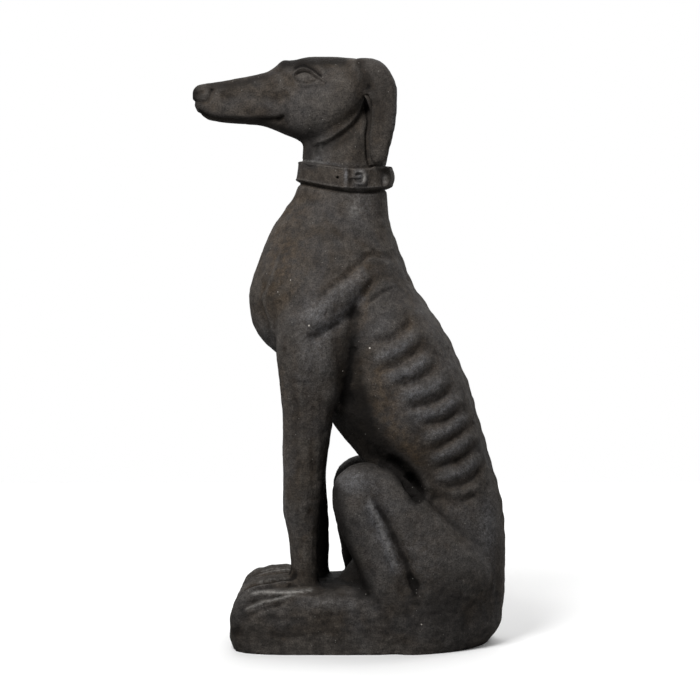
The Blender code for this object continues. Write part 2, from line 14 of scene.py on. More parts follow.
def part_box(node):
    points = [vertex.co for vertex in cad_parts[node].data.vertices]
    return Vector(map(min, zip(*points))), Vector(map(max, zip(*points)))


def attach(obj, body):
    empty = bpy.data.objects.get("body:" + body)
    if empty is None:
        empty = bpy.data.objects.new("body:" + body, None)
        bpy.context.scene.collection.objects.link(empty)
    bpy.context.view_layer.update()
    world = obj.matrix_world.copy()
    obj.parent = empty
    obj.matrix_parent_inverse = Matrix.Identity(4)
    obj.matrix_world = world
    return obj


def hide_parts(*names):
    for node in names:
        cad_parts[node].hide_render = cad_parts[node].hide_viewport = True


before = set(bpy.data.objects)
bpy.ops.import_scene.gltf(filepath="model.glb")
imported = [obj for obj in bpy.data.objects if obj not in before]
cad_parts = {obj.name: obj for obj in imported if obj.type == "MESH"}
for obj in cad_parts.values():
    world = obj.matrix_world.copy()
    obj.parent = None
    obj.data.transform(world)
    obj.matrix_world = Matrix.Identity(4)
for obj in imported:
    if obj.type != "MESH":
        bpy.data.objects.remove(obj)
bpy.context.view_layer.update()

HEIGHT = 0.760  # metres
GRAIN = HEIGHT / 760.0
CUT_BELOW = 14.0  # how far the forms reach below the ground before they are cut flat
VOXEL = 3.0
RING_POINTS = 40
HEAD_FROM = 574.0  # above this height the net is finer still
TRIANGLES = 192000  # asked of the thinning, before the cut

# The photograph's camera: its place in metres, and its focal length and the picture's width in pixels
CAMERA = (0.0013, -2.2, 0.3785)
FOCAL_PIXELS = 1686.0
PICTURE_PIXELS = 700.0
SENSOR = 36.0  # millimetres

# Lamps: name, place in metres, watts, width in metres
LAMPS = (
    ("key", (-0.60, -1.12, 1.62), 34.0, 0.6),
    ("rim", (1.5, 0.8, 1.3), 5.0, 0.5),
    ("back", (0.6, 2.4, 2.6), 160.0, 5.0),
)
LAMPS_AIM = (0, 0, 0.40)

# Neck, chest, flank and rump as level slices:
# height, front, back, half width, squareness, egg (above 0 is wider behind)
TRUNK = (
    (712, -34, 30, 24, 2, 0),
    (690, -52, 38, 32, 2, 0),
    (665, -60, 43, 35, 2, 0),
    (640, -61, 46, 36, 2, 0),
    (605, -64, 48, 38, 2, 0),
    (582, -71, 48.5, 40, 2, 0.05),
    (560, -86, 49, 45, 2, 0.1),
    (540, -99, 53, 52, 2.1, 0.1),
    (514, -111, 61, 61, 2.1, 0.08),
    (488, -120, 70, 70, 2.2, 0.05),
    (462, -128.5, 81, 78, 2.2, 0.02),
    (449, -130.5, 90, 81, 2.2, 0.02),
    (430, -129, 104, 83, 2.2, 0.08),
    (410, -125, 117, 84, 2.2, 0.12),
    (397, -118, 125, 84, 2.2, 0.15),
    (384, -106, 132, 83, 2.1, 0.18),
    (371, -90, 137.5, 82, 2.1, 0.18),
    (345, -62, 149, 81, 2.1, 0.18),
    (319, -41, 158, 79, 2.1, 0.15),
    (285, -23, 167, 76, 2.1, 0.1),
    (260, -4, 175, 73, 2.1, 0.06),
    (244, 10, 179, 69, 2.1, 0.04),
    (222, 24, 186, 65, 2.1, 0),
    (200, 32, 192.5, 63, 2.1, 0),
    (172, 38, 198, 66, 2.1, 0),
    (140, 40, 201.5, 76, 2, -0.05),
    (110, 42, 202.5, 82, 2, -0.1),
    (60, 42, 201, 84, 1.9, -0.15),
    (20, 42, 195, 84, 1.8, -0.15),
    (0, 42, 180, 84, 1.8, -0.15),
    (-CUT_BELOW, 42, 171, 82, 1.8, -0.15),
)

# The haunches where they meet the ground, seen from above a broad wedge, as level slices
SEAT = (
    (128, 20, 150, 66, 2),
    (105, 4, 186, 94, 1.9),
    (70, -20, 199, 106, 1.75),
    (30, -26, 199, 109, 1.7),
    (10, -26, 188, 109, 1.7),
    (0, -24, 177, 109, 1.7),
    (-CUT_BELOW, -24, 168, 107.5, 1.7),
)

# The block of feet in front of the haunches, as level slices
FEET_BLOCK = (
    (79, -118, 70, 78, 3.2),
    (76, -130, 82, 96, 3.6),
    (68, -138, 92, 104, 4.2),
    (55, -146, 96, 108, 4.6),
    (40, -153, 98, 109, 4.8),
    (12, -153.5, 98, 109, 4.8),
    (2, -150, 96, 109, 4.6),
    (-CUT_BELOW, -144, 92, 107.5, 4.4),
)

# Head as upright slices from nose to back of skull:
# place along X, top, underside, half width, squareness, egg (below 0 is wider at the lip)
HEAD = (
    (-205.5, 714, 706, 4, 2, 0),
    (-203.5, 719, 701, 8.5, 2.2, 0),
    (-200, 723, 692, 12, 2.4, 0),
    (-195, 725, 684, 14, 2.4, 0),
    (-185, 726.5, 677.5, 16, 2.4, -0.06),
    (-170, 728.5, 674.5, 17.5, 2.4, -0.1),
    (-154, 731.5, 673, 18.5, 2.4, -0.12),
    (-138, 734.2, 672, 20, 2.4, -0.12),
    (-123, 737.2, 671.5, 22, 2.4, -0.12),
    (-107, 741, 669, 25.5, 2.3, -0.1),
    (-99, 745.5, 666, 28.5, 2.3, -0.08),
    (-91, 752.5, 662.5, 32, 2.3, -0.04),
    (-83, 755, 659.5, 35, 2.3, 0),
    (-68, 756.5, 653, 40, 2.3, 0),
    (-52, 760, 645.5, 43.5, 2.3, -0.02),
    (-34, 760, 646.5, 46.5, 2.3, -0.04),
    (-15, 759.5, 656, 48, 2.3, -0.02),
    (2, 758, 669, 47, 2.2, 0),
    (14, 756, 684, 44, 2.2, 0.04),
    (28, 750, 697, 36, 2.1, 0.04),
    (42, 738, 706, 24, 2, 0),
    (49, 728, 714, 12, 2, 0),
)

# Hanging ear as level slices: height, front, back, middle of its thickness, half thickness
EAR = (
    (755, 12, 26, 24, 6),
    (751, 3, 38, 29, 10),
    (742, 2, 47.5, 36, 12),
    (729, 9, 55.5, 41.5, 11),
    (714, 16, 60.5, 43.5, 9.5),
    (700, 20.5, 61, 43.5, 9),
    (688, 25, 60.5, 43, 9),
    (672, 26.5, 59.5, 42.5, 9),
    (657, 24.5, 56.5, 42, 9),
    (642, 24, 52, 41, 8.5),
    (628, 25.5, 49.5, 40, 8),
    (620, 28, 47, 39, 7),
    (616.5, 32, 43, 38, 4),
)

# Foreleg from shoulder to paw as level slices: height, front, back, middle of leg, half width
FORELEG = (
    (470, -72, -20, 48, 14),
    (440, -86, -6, 55, 27),
    (405, -93, -5, 59, 31),
    (371, -93, -8, 59, 31),
    (345, -90, -9.5, 56.5, 29),
    (322, -88, -11.5, 53.5, 26.5),
    (308, -87, -20, 51.5, 24.5),
    (285, -85.5, -22.5, 49.5, 23),
    (256, -85, -26.5, 48, 22),
    (218, -85, -31.5, 46.5, 21),
    (196, -85, -33, 46, 20.5),
    (180, -85, -35.5, 46, 20.5),
    (161, -83, -38.5, 45.5, 20),
    (137, -78, -40, 45.5, 19.5),
    (104, -75, -40, 45.5, 19),
    (80, -77, -39, 46, 19.5),
    (50, -78, -38, 46, 20),
)
FAR_LEG_BACK = 12.0
FAR_LEG_FULL_BELOW = 150.0
FAR_LEG_EVEN_ABOVE = 205.0
FAR_SHIN_FORWARD = 22.0
FAR_SHIN_FULL_BELOW = 95.0
FAR_SHIN_EVEN_ABOVE = 170.0

# Shin from knee to heel as level slices: height, front, back, middle of shin, half width
SHIN = (
    (236, 10, 30, 78, 12),
    (230, -4, 40, 80, 21),
    (218, -16, 45, 81.5, 25.5),
    (203, -21.5, 43, 82, 27),
    (185, -21.5, 38, 82, 27.5),
    (168, -18, 39, 82, 27.5),
    (142, -9, 53, 82, 27.5),
    (108, 8, 65, 82, 27),
    (80, 18, 76, 81, 27.5),
    (45, 30, 90, 80, 28),
    (10, 34, 98, 78, 28),
)

# Thigh from knee to hip: place along X, height, half depth, middle of thigh, half thickness
THIGH = (
    (22, 220, 12, 80, 14),
    (27, 213, 25, 80, 23),
    (35, 203, 33, 80, 27),
    (51, 184, 37, 79.5, 29),
    (68, 162, 40, 77.5, 31),
    (85, 134, 46, 74, 33),
    (100, 110, 54, 69, 37),
    (120, 84, 60, 60, 40),
    (138, 60, 56, 48, 40),
    (152, 45, 40, 36, 36),
)

# Forepaw lying on the block of feet: place along X, top, middle of paw, half width
PAW = (
    (-34, 66, 46, 16),
    (-44, 84, 46, 22),
    (-60, 90, 47, 25),
    (-85, 91, 49, 29),
    (-108, 88.5, 52, 33),
    (-122, 84.5, 55, 37),
    (-135, 77.5, 56, 39),
    (-143, 65, 57, 38),
    (-149, 50, 57, 32),
)
PAW_UNDERSIDE = 20.0

# The tail lies against the right haunch: points on the ground plan, and its half thickness
TAIL = (
    (158, 4, 20),
    (172, 24, 18),
    (167, 47, 16),
    (149, 66, 14.5),
    (124, 82, 13.5),
    (96, 93, 12.5),
    (66, 99, 10.5),
    (38, 101, 7),
)
TAIL_HEIGHT = 15.0


def eased(keys, values, places):
    """Values at the places, on a smooth curve through the keys that never overshoots them."""
    order = np.argsort(keys)
    keys = np.asarray(keys, float)[order]
    values = np.asarray(values, float)[order]
    steps = np.diff(keys)
    slopes = np.diff(values) / steps
    tangents = np.zeros(len(keys))
    tangents[0] = slopes[0]
    tangents[-1] = slopes[-1]
    same_way = slopes[:-1] * slopes[1:] > 0
    mean = 2.0 * slopes[:-1] * slopes[1:] / np.where(same_way, slopes[:-1] + slopes[1:], 1.0)
    tangents[1:-1] = np.where(same_way, mean, 0.0)
    index = np.clip(np.searchsorted(keys, places) - 1, 0, len(steps) - 1)
    t = (places - keys[index]) / steps[index]
    rise = steps[index]
    return (
        values[index] * (1 + 2 * t) * (1 - t) ** 2
        + tangents[index] * rise * t * (1 - t) ** 2
        + values[index + 1] * t**2 * (3 - 2 * t)
        + tangents[index + 1] * rise * t**2 * (t - 1)
    )


def bell(distance, width):
    """1 at no distance, falling off smoothly to both sides."""
    return np.exp(-((distance / width) ** 2))


def rise(values, start, width):
    """0 up to the start, 1 from start + width on."""
    return np.clip((values - start) / width, 0.0, 1.0)


def fall(values, end, width):
    """1 up to end - width, 0 from the end on."""
    return np.clip((end - values) / width, 0.0, 1.0)


def heading(route, i):
    """The route's direction at its i-th point, from its first two columns."""
    way = route[min(i + 1, len(route) - 1), :2] - route[max(i - 1, 0), :2]
    return way / np.linalg.norm(way)


def filled_in(table, gap):
    """The table's rows, with more of them in between so that no two are further apart than gap."""
    table = np.array(table, float)
    span = abs(table[-1, 0] - table[0, 0])
    count = max(2, int(math.ceil(span / gap)) + 1)
    ends = (1 - np.cos(np.linspace(0.0, math.pi, 9))) / 2
    places = np.unique(np.concatenate((np.linspace(0, 1, count), ends * 0.02, 1 - ends * 0.02)))
    places = table[0, 0] + places * (table[-1, 0] - table[0, 0])
    columns = [eased(table[:, 0], table[:, i], places) for i in range(1, table.shape[1])]
    return np.column_stack([places] + columns)


def flowing(points, gap):
    """Points about a gap apart on a smooth curve through the given ones."""
    points = np.array(points, float)
    before = 2 * points[0] - points[1]
    after = 2 * points[-1] - points[-2]
    padded = np.vstack((before, points, after))
    found = []
    for i in range(1, len(padded) - 2):
        p0, p1, p2, p3 = padded[i - 1 : i + 3]
        count = max(1, int(np.linalg.norm(p2 - p1) / gap))
        for t in np.arange(count) / count:
            found.append(
                0.5 * (2 * p1 + (p2 - p0) * t + (2 * p0 - 5 * p1 + 4 * p2 - p3) * t**2
                       + (3 * p1 - p0 - 3 * p2 + p3) * t**3)
            )
    found.append(points[-1])
    return np.array(found)


def ring(centre, along, across, square=2.0, egg=0.0):
    """A superellipse about the centre, with its half sizes as two vectors."""
    turn = np.linspace(0.0, 2 * math.pi, RING_POINTS, endpoint=False)
    c = np.cos(turn)
    s = np.sin(turn)
    u = np.sign(c) * np.abs(c) ** (2 / square)
    v = np.sign(s) * np.abs(s) ** (2 / square) * (1 + egg * u)
    return np.array(centre) + u[:, None] * np.array(along) + v[:, None] * np.array(across)


def add_skin(rough, rings):
    """One closed skin through the rings, capped at both ends."""
    rows = [[rough.verts.new(point * GRAIN) for point in points] for points in rings]
    faces = [rough.faces.new(rows[0][::-1]), rough.faces.new(rows[-1])]
    for low, high in zip(rows, rows[1:]):
        for i in range(len(low)):
            j = (i + 1) % len(low)
            faces.append(rough.faces.new((low[i], low[j], high[j], high[i])))
    bmesh.ops.recalc_face_normals(rough, faces=faces)


def level_form(rough, table, gap=6.0):
    """A form about the middle plane, from level slices."""
    rings = [
        ring(((front + back) / 2, 0, z), ((back - front) / 2, 0, 0), (0, half, 0), *shape)
        for z, front, back, half, *shape in filled_in(table, gap)
    ]
    add_skin(rough, rings)


def side_form(rough, table, side, square=2.2, shift=None, gap=5.0):
    """A form on one side of the middle plane, from level slices."""
    rings = []
    for z, front, back, middle, half in filled_in(table, gap):
        moved = shift(z) if shift else 0.0
        centre = ((front + back) / 2 + moved, side * middle, z)
        rings.append(ring(centre, ((back - front) / 2, 0, 0), (0, half, 0), square))
    add_skin(rough, rings)


def make_head(rough):
    rings = [
        ring((x, 0, (top + under) / 2), (0, 0, (top - under) / 2), (0, half, 0), square, egg)
        for x, top, under, half, square, egg in filled_in(HEAD, 4.0)
    ]
    add_skin(rough, rings)


def make_thigh(rough, side):
    route = flowing(THIGH, 5.0)
    rings = []
    for i, (x, z, depth, middle, half) in enumerate(route):
        way = heading(route, i)
        rings.append(ring((x, side * middle, z), (-way[1] * depth, 0, way[0] * depth), (0, half, 0)))
    add_skin(rough, rings)


def make_paw(rough, side):
    rings = []
    for x, top, middle, half in filled_in(PAW, 4.0):
        centre = (x, side * middle, (top + PAW_UNDERSIDE) / 2)
        rings.append(ring(centre, (0, 0, (top - PAW_UNDERSIDE) / 2), (0, half, 0), 2.6))
    add_skin(rough, rings)


def make_tail(rough):
    route = flowing(TAIL, 6.0)
    rings = []
    for i, (x, y, half) in enumerate(route):
        way = heading(route, i)
        rings.append(ring((x, y, TAIL_HEIGHT), (way[1] * half, -way[0] * half, 0), (0, 0, half)))
    add_skin(rough, rings)


def far_leg_shift(z):
    """The right foreleg stands a little further back than the left towards the paw."""
    return FAR_LEG_BACK * fall(z, FAR_LEG_EVEN_ABOVE, FAR_LEG_EVEN_ABOVE - FAR_LEG_FULL_BELOW)


def far_shin_shift(z):
    """The right shin stands a little further forward than the left towards the heel."""
    return -FAR_SHIN_FORWARD * fall(z, FAR_SHIN_EVEN_ABOVE, FAR_SHIN_EVEN_ABOVE - FAR_SHIN_FULL_BELOW)


def object_from(name, data):
    made = bpy.data.objects.new(name, data)
    bpy.context.scene.collection.objects.link(made)
    return made


def applied(made):
    """The object's mesh with its modifiers applied."""
    bpy.context.view_layer.update()
    graph = bpy.context.evaluated_depsgraph_get()
    result = bpy.data.meshes.new_from_object(made.evaluated_get(graph))
    made.modifiers.clear()
    made.data = result
    return result


def rough_figure():
    """The main forms, run together into one closed skin of small squares."""
    rough = bmesh.new()
    level_form(rough, TRUNK)
    level_form(rough, SEAT, 4.0)
    level_form(rough, FEET_BLOCK, 3.0)
    make_head(rough)
    make_tail(rough)
    for side in (-1, 1):
        side_form(rough, EAR, side, square=2.3, gap=4.0)
        side_form(rough, FORELEG, side, shift=far_leg_shift if side > 0 else None)
        side_form(rough, SHIN, side, shift=far_shin_shift if side > 0 else None)
        make_thigh(rough, side)
        make_paw(rough, side)
    mesh = bpy.data.meshes.new("greyhound_stone")
    rough.to_mesh(mesh)
    rough.free()
    figure = object_from("greyhound_stone", mesh)
    remesh = figure.modifiers.new("run together", "REMESH")
    remesh.mode = "VOXEL"
    remesh.voxel_size = VOXEL * GRAIN
    applied(figure)
    return figure


class Skin:
    """The points of a mesh in grains, with what is to be raised or sunk at each."""

    def __init__(self, mesh):
        count = len(mesh.vertices)
        places = np.empty(count * 3)
        mesh.vertices.foreach_get("co", places)
        self.mesh = mesh
        self.points = places.reshape(-1, 3) / GRAIN
        ends = np.empty(len(mesh.edges) * 2, dtype=np.int64)
        mesh.edges.foreach_get("vertices", ends)
        self.ends = ends.reshape(-1, 2)
        self.lift = np.zeros(count)
        self.read_normals()

    def read_normals(self):
        normals = np.empty(len(self.points) * 3)
        self.mesh.vertices.foreach_get("normal", normals)
        self.normals = normals.reshape(-1, 3)

    def write(self):
        self.mesh.vertices.foreach_set("co", (self.points * GRAIN).ravel())
        self.mesh.update()
        self.read_normals()

    def raise_lifted(self):
        self.points = self.points + self.normals * self.lift[:, None]
        self.lift[:] = 0.0
        self.write()

    def neighbours_mean(self, values):
        a, b = self.ends.T
        count = len(self.points)
        degree = np.bincount(a, minlength=count) + np.bincount(b, minlength=count)
        total = np.bincount(a, values[b], count) + np.bincount(b, values[a], count)
        return total / np.maximum(degree, 1)

    def soften(self, rounds, share):
        """Moves each point towards the mean of its neighbours, by its own share."""
        for _ in range(rounds):
            mean = np.column_stack([self.neighbours_mean(self.points[:, i]) for i in range(3)])
            self.points = self.points + (mean - self.points) * share[:, None]

    def flank(self):
        """How far each point faces outwards to its own side, 0 to 1."""
        outwards = self.normals[:, 1] * np.sign(self.points[:, 1])
        return rise(outwards, 0.10, 0.35)

    def line(self, route, height, left, right=None, ends=0.12, flank=True, part=None):
        """Raises or sinks a strip along a route on the side view, with its reach to either side.

        Each end fades over that share of the length. Flank keeps it to the faces that look outwards.
        """
        path = flowing(route, 2.5)
        right = left if right is None else right
        reach = 2.6 * max(left, right)
        low = path.min(axis=0) - reach
        high = path.max(axis=0) + reach
        flat = self.points[:, [0, 2]]
        chosen = np.nonzero(np.all((flat > low) & (flat < high), axis=1))[0]
        distance, share, turn = trace(path, flat[chosen])
        width = np.where(turn > 0, left, right)
        taper = np.clip(np.minimum(share, 1 - share) / ends, 0.0, 1.0)
        taper = taper * taper * (3 - 2 * taper)
        amount = height * bell(distance, width) * taper
        if flank:
            amount = amount * self.flank()[chosen]
        if part is not None:
            amount = amount * part[chosen]
        self.lift[chosen] += amount

    def swell(self, centre, radii, height, flank=False):
        """Raises or sinks an oval patch, on both sides of the middle plane."""
        x, y, z = centre
        a, b, c = radii
        points = self.points
        far = ((points[:, 0] - x) / a) ** 2
        far = far + ((np.abs(points[:, 1]) - y) / b) ** 2 + ((points[:, 2] - z) / c) ** 2
        amount = height * np.exp(-far)
        self.lift += amount * self.flank() if flank else amount


def trace(path, flat):
    """For each flat point: the distance to the path, how far along it that is, and which side."""
    best = np.full(len(flat), np.inf)
    share = np.zeros(len(flat))
    side = np.zeros(len(flat))
    steps = np.diff(path, axis=0)
    lengths = np.linalg.norm(steps, axis=1)
    walked = np.concatenate(([0.0], np.cumsum(lengths)))
    for start, step, length, before in zip(path, steps, lengths, walked):
        offset = flat - start
        t = np.clip(offset @ step / length**2, 0.0, 1.0)
        distance = np.linalg.norm(offset - t[:, None] * step, axis=1)
        near = distance < best
        best[near] = distance[near]
        share[near] = (before + t[near] * length) / walked[-1]
        side[near] = np.sign(step[0] * offset[near, 1] - step[1] * offset[near, 0])
    return best, share, side


def soften_joints(skin):
    """Fillets where the forms meet: strong on the body, light on head, ears and paws."""
    z = skin.points[:, 2]
    skin.soften(5, np.full(len(z), 0.55))
    body = fall(z, 600, 60) * rise(z, 90, 40)
    # The notch between thigh and belly stays crisp
    notch = np.exp(-(((skin.points[:, 0] - 75) / 38) ** 2) - ((z - 208) / 34) ** 2)
    skin.soften(15, 0.55 * body * (1 - 0.85 * notch))
    # The seat runs into the haunches without a step
    rump = np.exp(-(((skin.points[:, 0] - 160) / 36) ** 2) - ((z - 116) / 34) ** 2)
    skin.soften(36, 0.6 * rump)
    skin.write()
    # What the softening took off comes back
    skin.lift += 0.4 + 0.6 * body
    skin.raise_lifted()


def finer_net(figure):
    """One round of subdivision all over, and a second on the head and collar."""
    finer = figure.modifiers.new("finer", "SUBSURF")
    finer.levels = 1
    finer.render_levels = 1
    mesh = applied(figure)
    work = bmesh.new()
    work.from_mesh(mesh)
    low = HEAD_FROM * GRAIN
    edges = [edge for edge in work.edges if edge.verts[0].co.z > low and edge.verts[1].co.z > low]
    bmesh.ops.subdivide_edges(work, edges=edges, cuts=1, use_grid_fill=True)
    work.to_mesh(mesh)
    work.free()
    skin = Skin(mesh)
    skin.soften(2, 0.5 * rise(skin.points[:, 2], HEAD_FROM, 4))
    skin.write()


LATTICE_SIDE = 32
LATTICE = np.random.default_rng(7).uniform(-1.0, 1.0, (LATTICE_SIDE,) * 3)


def lumps(points, size, offset=0.0):
    """Smooth unevenness between -1 and 1 in lumps of that size, in grains."""
    # 16.37 keeps the middle plane and the ground off the lattice's own planes
    cell = points / size + 16.37 + offset
    base = np.floor(cell).astype(int)
    t = cell - base
    t = t * t * (3 - 2 * t)
    total = np.zeros(len(points))
    for corner in np.ndindex(2, 2, 2):
        u, v, w = np.where(corner, t, 1 - t).T
        i, j, k = ((base + corner) % LATTICE_SIDE).T
        total += u * v * w * LATTICE[i, j, k]
    return total


# The grooves between the ribs, each from its back end down and forwards on the side view
RIB_GROOVES = (
    ((80, 424), (76, 412), (63, 400), (47, 391), (22, 387)),
    ((97, 397), (88, 382), (76, 370), (53, 357), (22, 350)),
    ((113, 366), (106, 355), (95, 345), (77, 338), (52, 333)),
    ((134, 345), (128, 330), (117, 318), (97, 310), (60, 301)),
    ((146, 314), (137, 301), (119, 289), (84, 285)),
    ((160, 290), (152, 281), (134, 269), (112, 256), (90, 252)),
    ((168, 263), (160, 255), (145, 243), (121, 233), (99, 223)),
    ((173, 238), (167, 225), (155, 213), (133, 206), (106, 207)),
)

# Other routes on the side view, some of them shared by the carving and the paint
NOTCH = ((40, 243), (54, 234), (68, 220), (80, 205), (92, 187))
SHIN_CREASE = (
    (26, 202), (30, 195), (39, 177), (48, 161), (56, 143), (67, 120), (75, 98), (82, 74), (86, 54),
)
SHOULDER_BAND = ((26, 481), (2, 459), (-25, 439), (-54, 408))
JAW = ((18, 708), (13, 690), (4, 674), (-12, 660), (-31, 649), (-56, 642))
EAR_RECESS = ((10, 753), (14, 742), (18, 728), (21, 714), (23, 706))
SHOULDER_CREASE = ((57, 494), (40, 498), (24, 498), (12, 487), (-8, 469), (-24, 457), (-41, 443))
CHEST_EDGE = (
    (-83, 517), (-88, 502), (-93, 486), (-99, 468), (-108, 446), (-105, 428), (-99, 409), (-92, 382),
)
SHIN_RIDGE = (
    (22, 197), (27, 187), (34, 173), (40, 161), (48, 145), (56, 124), (64, 106), (70, 90), (75, 72),
)
UPPER_LID = ((-74, 727), (-70, 735), (-62, 739.5), (-53, 738), (-44, 731), (-36, 724.5), (-26, 717.5))
NOSE_PAD = ((-207, 702), (-198, 700.5), (-190, 699.5), (-184, 702.5), (-180, 709), (-178, 718))
MOUTH = (
    (-198, 691), (-191, 685.5), (-184, 681.8), (-171, 678.8), (-141, 677), (-110, 677), (-93, 677.5),
    (-83, 680),
)
EAR_FRONT = ((20, 706), (24, 690), (25, 672), (22.5, 657), (22.5, 637), (25, 619), (33, 612))


def moved(route, x_by, z_by):
    return [(x + x_by, z + z_by) for x, z in route]


def between(above, below):
    """A route midway between two others, from their starts down and forwards."""
    upper = flowing(above, 4.0)
    lower = flowing(below, 4.0)
    places = np.linspace(0.0, 1.0, 6)
    first = upper[(places * (len(upper) - 1)).astype(int)]
    second = lower[(places * (len(lower) - 1)).astype(int)]
    return (first + second) / 2


RIBS = [between(above, below) for above, below in zip(RIB_GROOVES, RIB_GROOVES[1:])]

# What is carved, in this order. A stroke has a route, a height (below 0 it sinks), its reach to the left
# and to the right, the share in which its ends fade, and False where it isn't kept to the flanks.
# A swell has a centre, radii and a height, and True where it is kept to the flanks.
TRUNK_MARKS = (
    # The neck: a faint cord below the jaw
    (((-42, 645), (-46, 628), (-48, 616)), 1.2, 4),
    # The shoulder: a thin crease, the raised band under it, and the hollow below the band
    (SHOULDER_CREASE, -2.6, 2.8, 5.5),
    (SHOULDER_BAND, 4.6, 14, 12),
    (((34, 476), (22, 454), (6, 431), (-16, 411), (-38, 398), (-57, 390)), -4.6, 8, 6),
    (((57, 457), (44, 452), (30, 443), (18, 432)), -2, 2.6, 4),
    ((14, 84, 400), (22, 40, 50), -9, True),
    (((10, 440), (2, 410), (0, 370), (-4, 330), (-10, 300)), -6, 16, 6),
    ((40, 78, 470), (20, 30, 14), -1.6, True),
    # The edge between the front and the side of the chest
    (CHEST_EDGE, 2.2, 2.2, 4),
    (moved(CHEST_EDGE[3:], -6, 0), -1.8, 4.5),
    # The ribs: grooves with full, rounded ribs between them
    *((groove, -3.5, 4.6, 7.6, 0.32) for groove in RIB_GROOVES),
    *((rib, 2.8, 9, 8, 0.34) for rib in RIBS),
    # The deep notch between thigh and belly, and the fold of the flank above the thigh
    (NOTCH, -6, 8, 5, 0.26),
    (NOTCH[2:], -9, 8, 6, 0.3),
    (((46, 254), (62, 246), (80, 232), (94, 214), (102, 198)), 2.6, 6, 6),
    (((165, 196), (138, 186), (115, 192), (100, 190)), -3, 6),
    (((168, 206), (150, 196), (128, 198)), 1.4, 6),
    # The belly's lower edge behind the elbow
    (((-22, 306), (0, 272), (26, 246), (46, 236)), -3, 9, 10),
)
LIMB_MARKS = (
    # Where the shin lies against the thigh: a crisp ridge with a crease close behind it
    (SHIN_CREASE, -4.6, 8, 5.2, 0.22),
    (SHIN_RIDGE, 2.2, 2.2, 5, 0.14),
    (((2, 176), (12, 146), (26, 112), (38, 82)), -1.3, 6),
    # The kneecap
    ((10, 100, 214), (16, 20, 10), 1.6, True),
    ((-2, 100, 186), (6, 20, 4), 0.8, True),
    # The long edge down the front of the foreleg, and its muscle above the wrist
    (((-71, 396), (-69, 341), (-69, 290), (-69, 230)), -1.6, 4.5),
    (((-58, 330), (-57, 280), (-57, 220), (-56, 160)), 1, 7),
    (((-47, 300), (-47, 240), (-47, 190), (-50, 150)), -1.1, 4),
    # The elbow's hollow and the wrist
    ((-26, 70, 318), (8, 20, 12), 1.6, True),
    ((-46, 70, 352), (14, 20, 16), -1.2, True),
    (((-84, 186), (-70, 182), (-52, 184), (-38, 188)), 0.5, 7),
    # The crease where the foreleg stands on its paw
    (((-78, 82), (-62, 77.5), (-44, 76.5), (-32, 78)), -3, 2, 3.2, 0.06),
)
HEAD_MARKS = (
    # The eye: socket, ball, then lids, creases and brow
    ((-57, 41, 731), (18, 16, 11), -2.4, True),
    ((-58, 41, 729.5), (11, 12, 4.6), 3.2, True),
    (UPPER_LID, 2.8, 1.5, 1.3),
    (((-70, 730), (-66, 734.5), (-60, 736.6), (-53, 735), (-45, 729), (-38, 723.5)), -1.6, 1.2),
    (((-73, 740), (-64, 745), (-54, 743.5), (-44, 737), (-34, 727.5)), -1.8, 1.9),
    (((-72, 748), (-62, 751.5), (-48, 748.5), (-38, 740), (-30, 730)), 1.7, 5),
    (((-73, 727), (-66, 723.2), (-57, 721.2), (-48, 722.2), (-41, 724.6)), -1.3, 1.2),
    (((-74, 724), (-67, 720), (-57, 717.8), (-47, 718.8), (-36, 721.5)), 0.9, 1.7),
    (((-66, 715), (-54, 713), (-40, 715), (-28, 715)), -1, 2.2),
    ((-77, 36, 727), (4, 8, 3), -1.6, True),
    # The stop: the brow stands over the muzzle
    (((-96, 742), (-88, 736), (-80, 726), (-78, 716)), -1.8, 6),
    ((-86, 16, 751), (6, 16, 6), 2.2),
    # Nose pad, nostril, and the notch below the nose
    (NOSE_PAD, -2, 2.6, 2.6, 0.04, False),
    ((-197.5, 9, 711), (3.2, 4, 3), -3.4),
    ((-192.5, 12, 713.5), (3, 4, 1.6), -1.4),
    # Mouth: the upper lip hangs over the lower jaw
    (MOUTH, -3, 1.7, 5, 0.05, False),
    (moved(MOUTH, 0, 5), 1.1, 3.4, 3.4, 0.08, False),
    (((-96, 677), (-88, 673), (-78, 668)), -1.2, 3.5, 3.5, 0.12, False),
    ((-84, 30, 678), (7, 12, 5), -1),
    # The hollow along the muzzle and below the eye, and the full cheek
    (((-168, 706), (-140, 707), (-116, 705), (-92, 704), (-76, 708)), -2.2, 7),
    (((-176, 714), (-150, 718), (-120, 722), (-98, 727)), 0.9, 5),
    ((-28, 48, 688), (30, 20, 26), 3, True),
    # The edge of the jaw stands out over the neck
    (JAW, 1, 1.8, 12),
    (moved(JAW, 3.4, -4), -4.4, 10.5, 3),
    # The fold in front of the ear, and the ear's own edge over the neck
    (EAR_RECESS, -4.4, 8, 4.5, 0.16),
    (EAR_FRONT, -2.8, 2.3, 2.3, 0.03),
    (((28, 690), (30, 672), (27.5, 655), (27.5, 637), (30, 622)), 1.4, 3, 3, 0.08),
    (((36, 700), (38, 672), (36, 640)), -0.8, 5),
    ((26, 46, 716), (11, 16, 20), -1.8, True),
)


def carve(skin, marks):
    for mark in marks:
        if np.ndim(mark[0]) == 2:
            skin.line(*mark)
        else:
            skin.swell(*mark)


def carve_spine(skin):
    """A low ridge between two shallow hollows, with its knuckles."""
    x, y, z = skin.points.T
    back = rise(skin.normals[:, 0], 0.25, 0.4)
    back = back * rise(z, 110, 60) * fall(z, 560, 60)
    knuckles = 0.75 + 0.25 * np.cos(2 * math.pi * z / 26)
    skin.lift += back * 2.2 * knuckles * bell(y, 7)
    skin.lift -= back * 1.6 * bell(np.abs(y) - 19, 9)


TOES = (-1.5, -0.5, 0.5, 1.5)
BETWEEN_TOES = (-1.0, 0.0, 1.0)


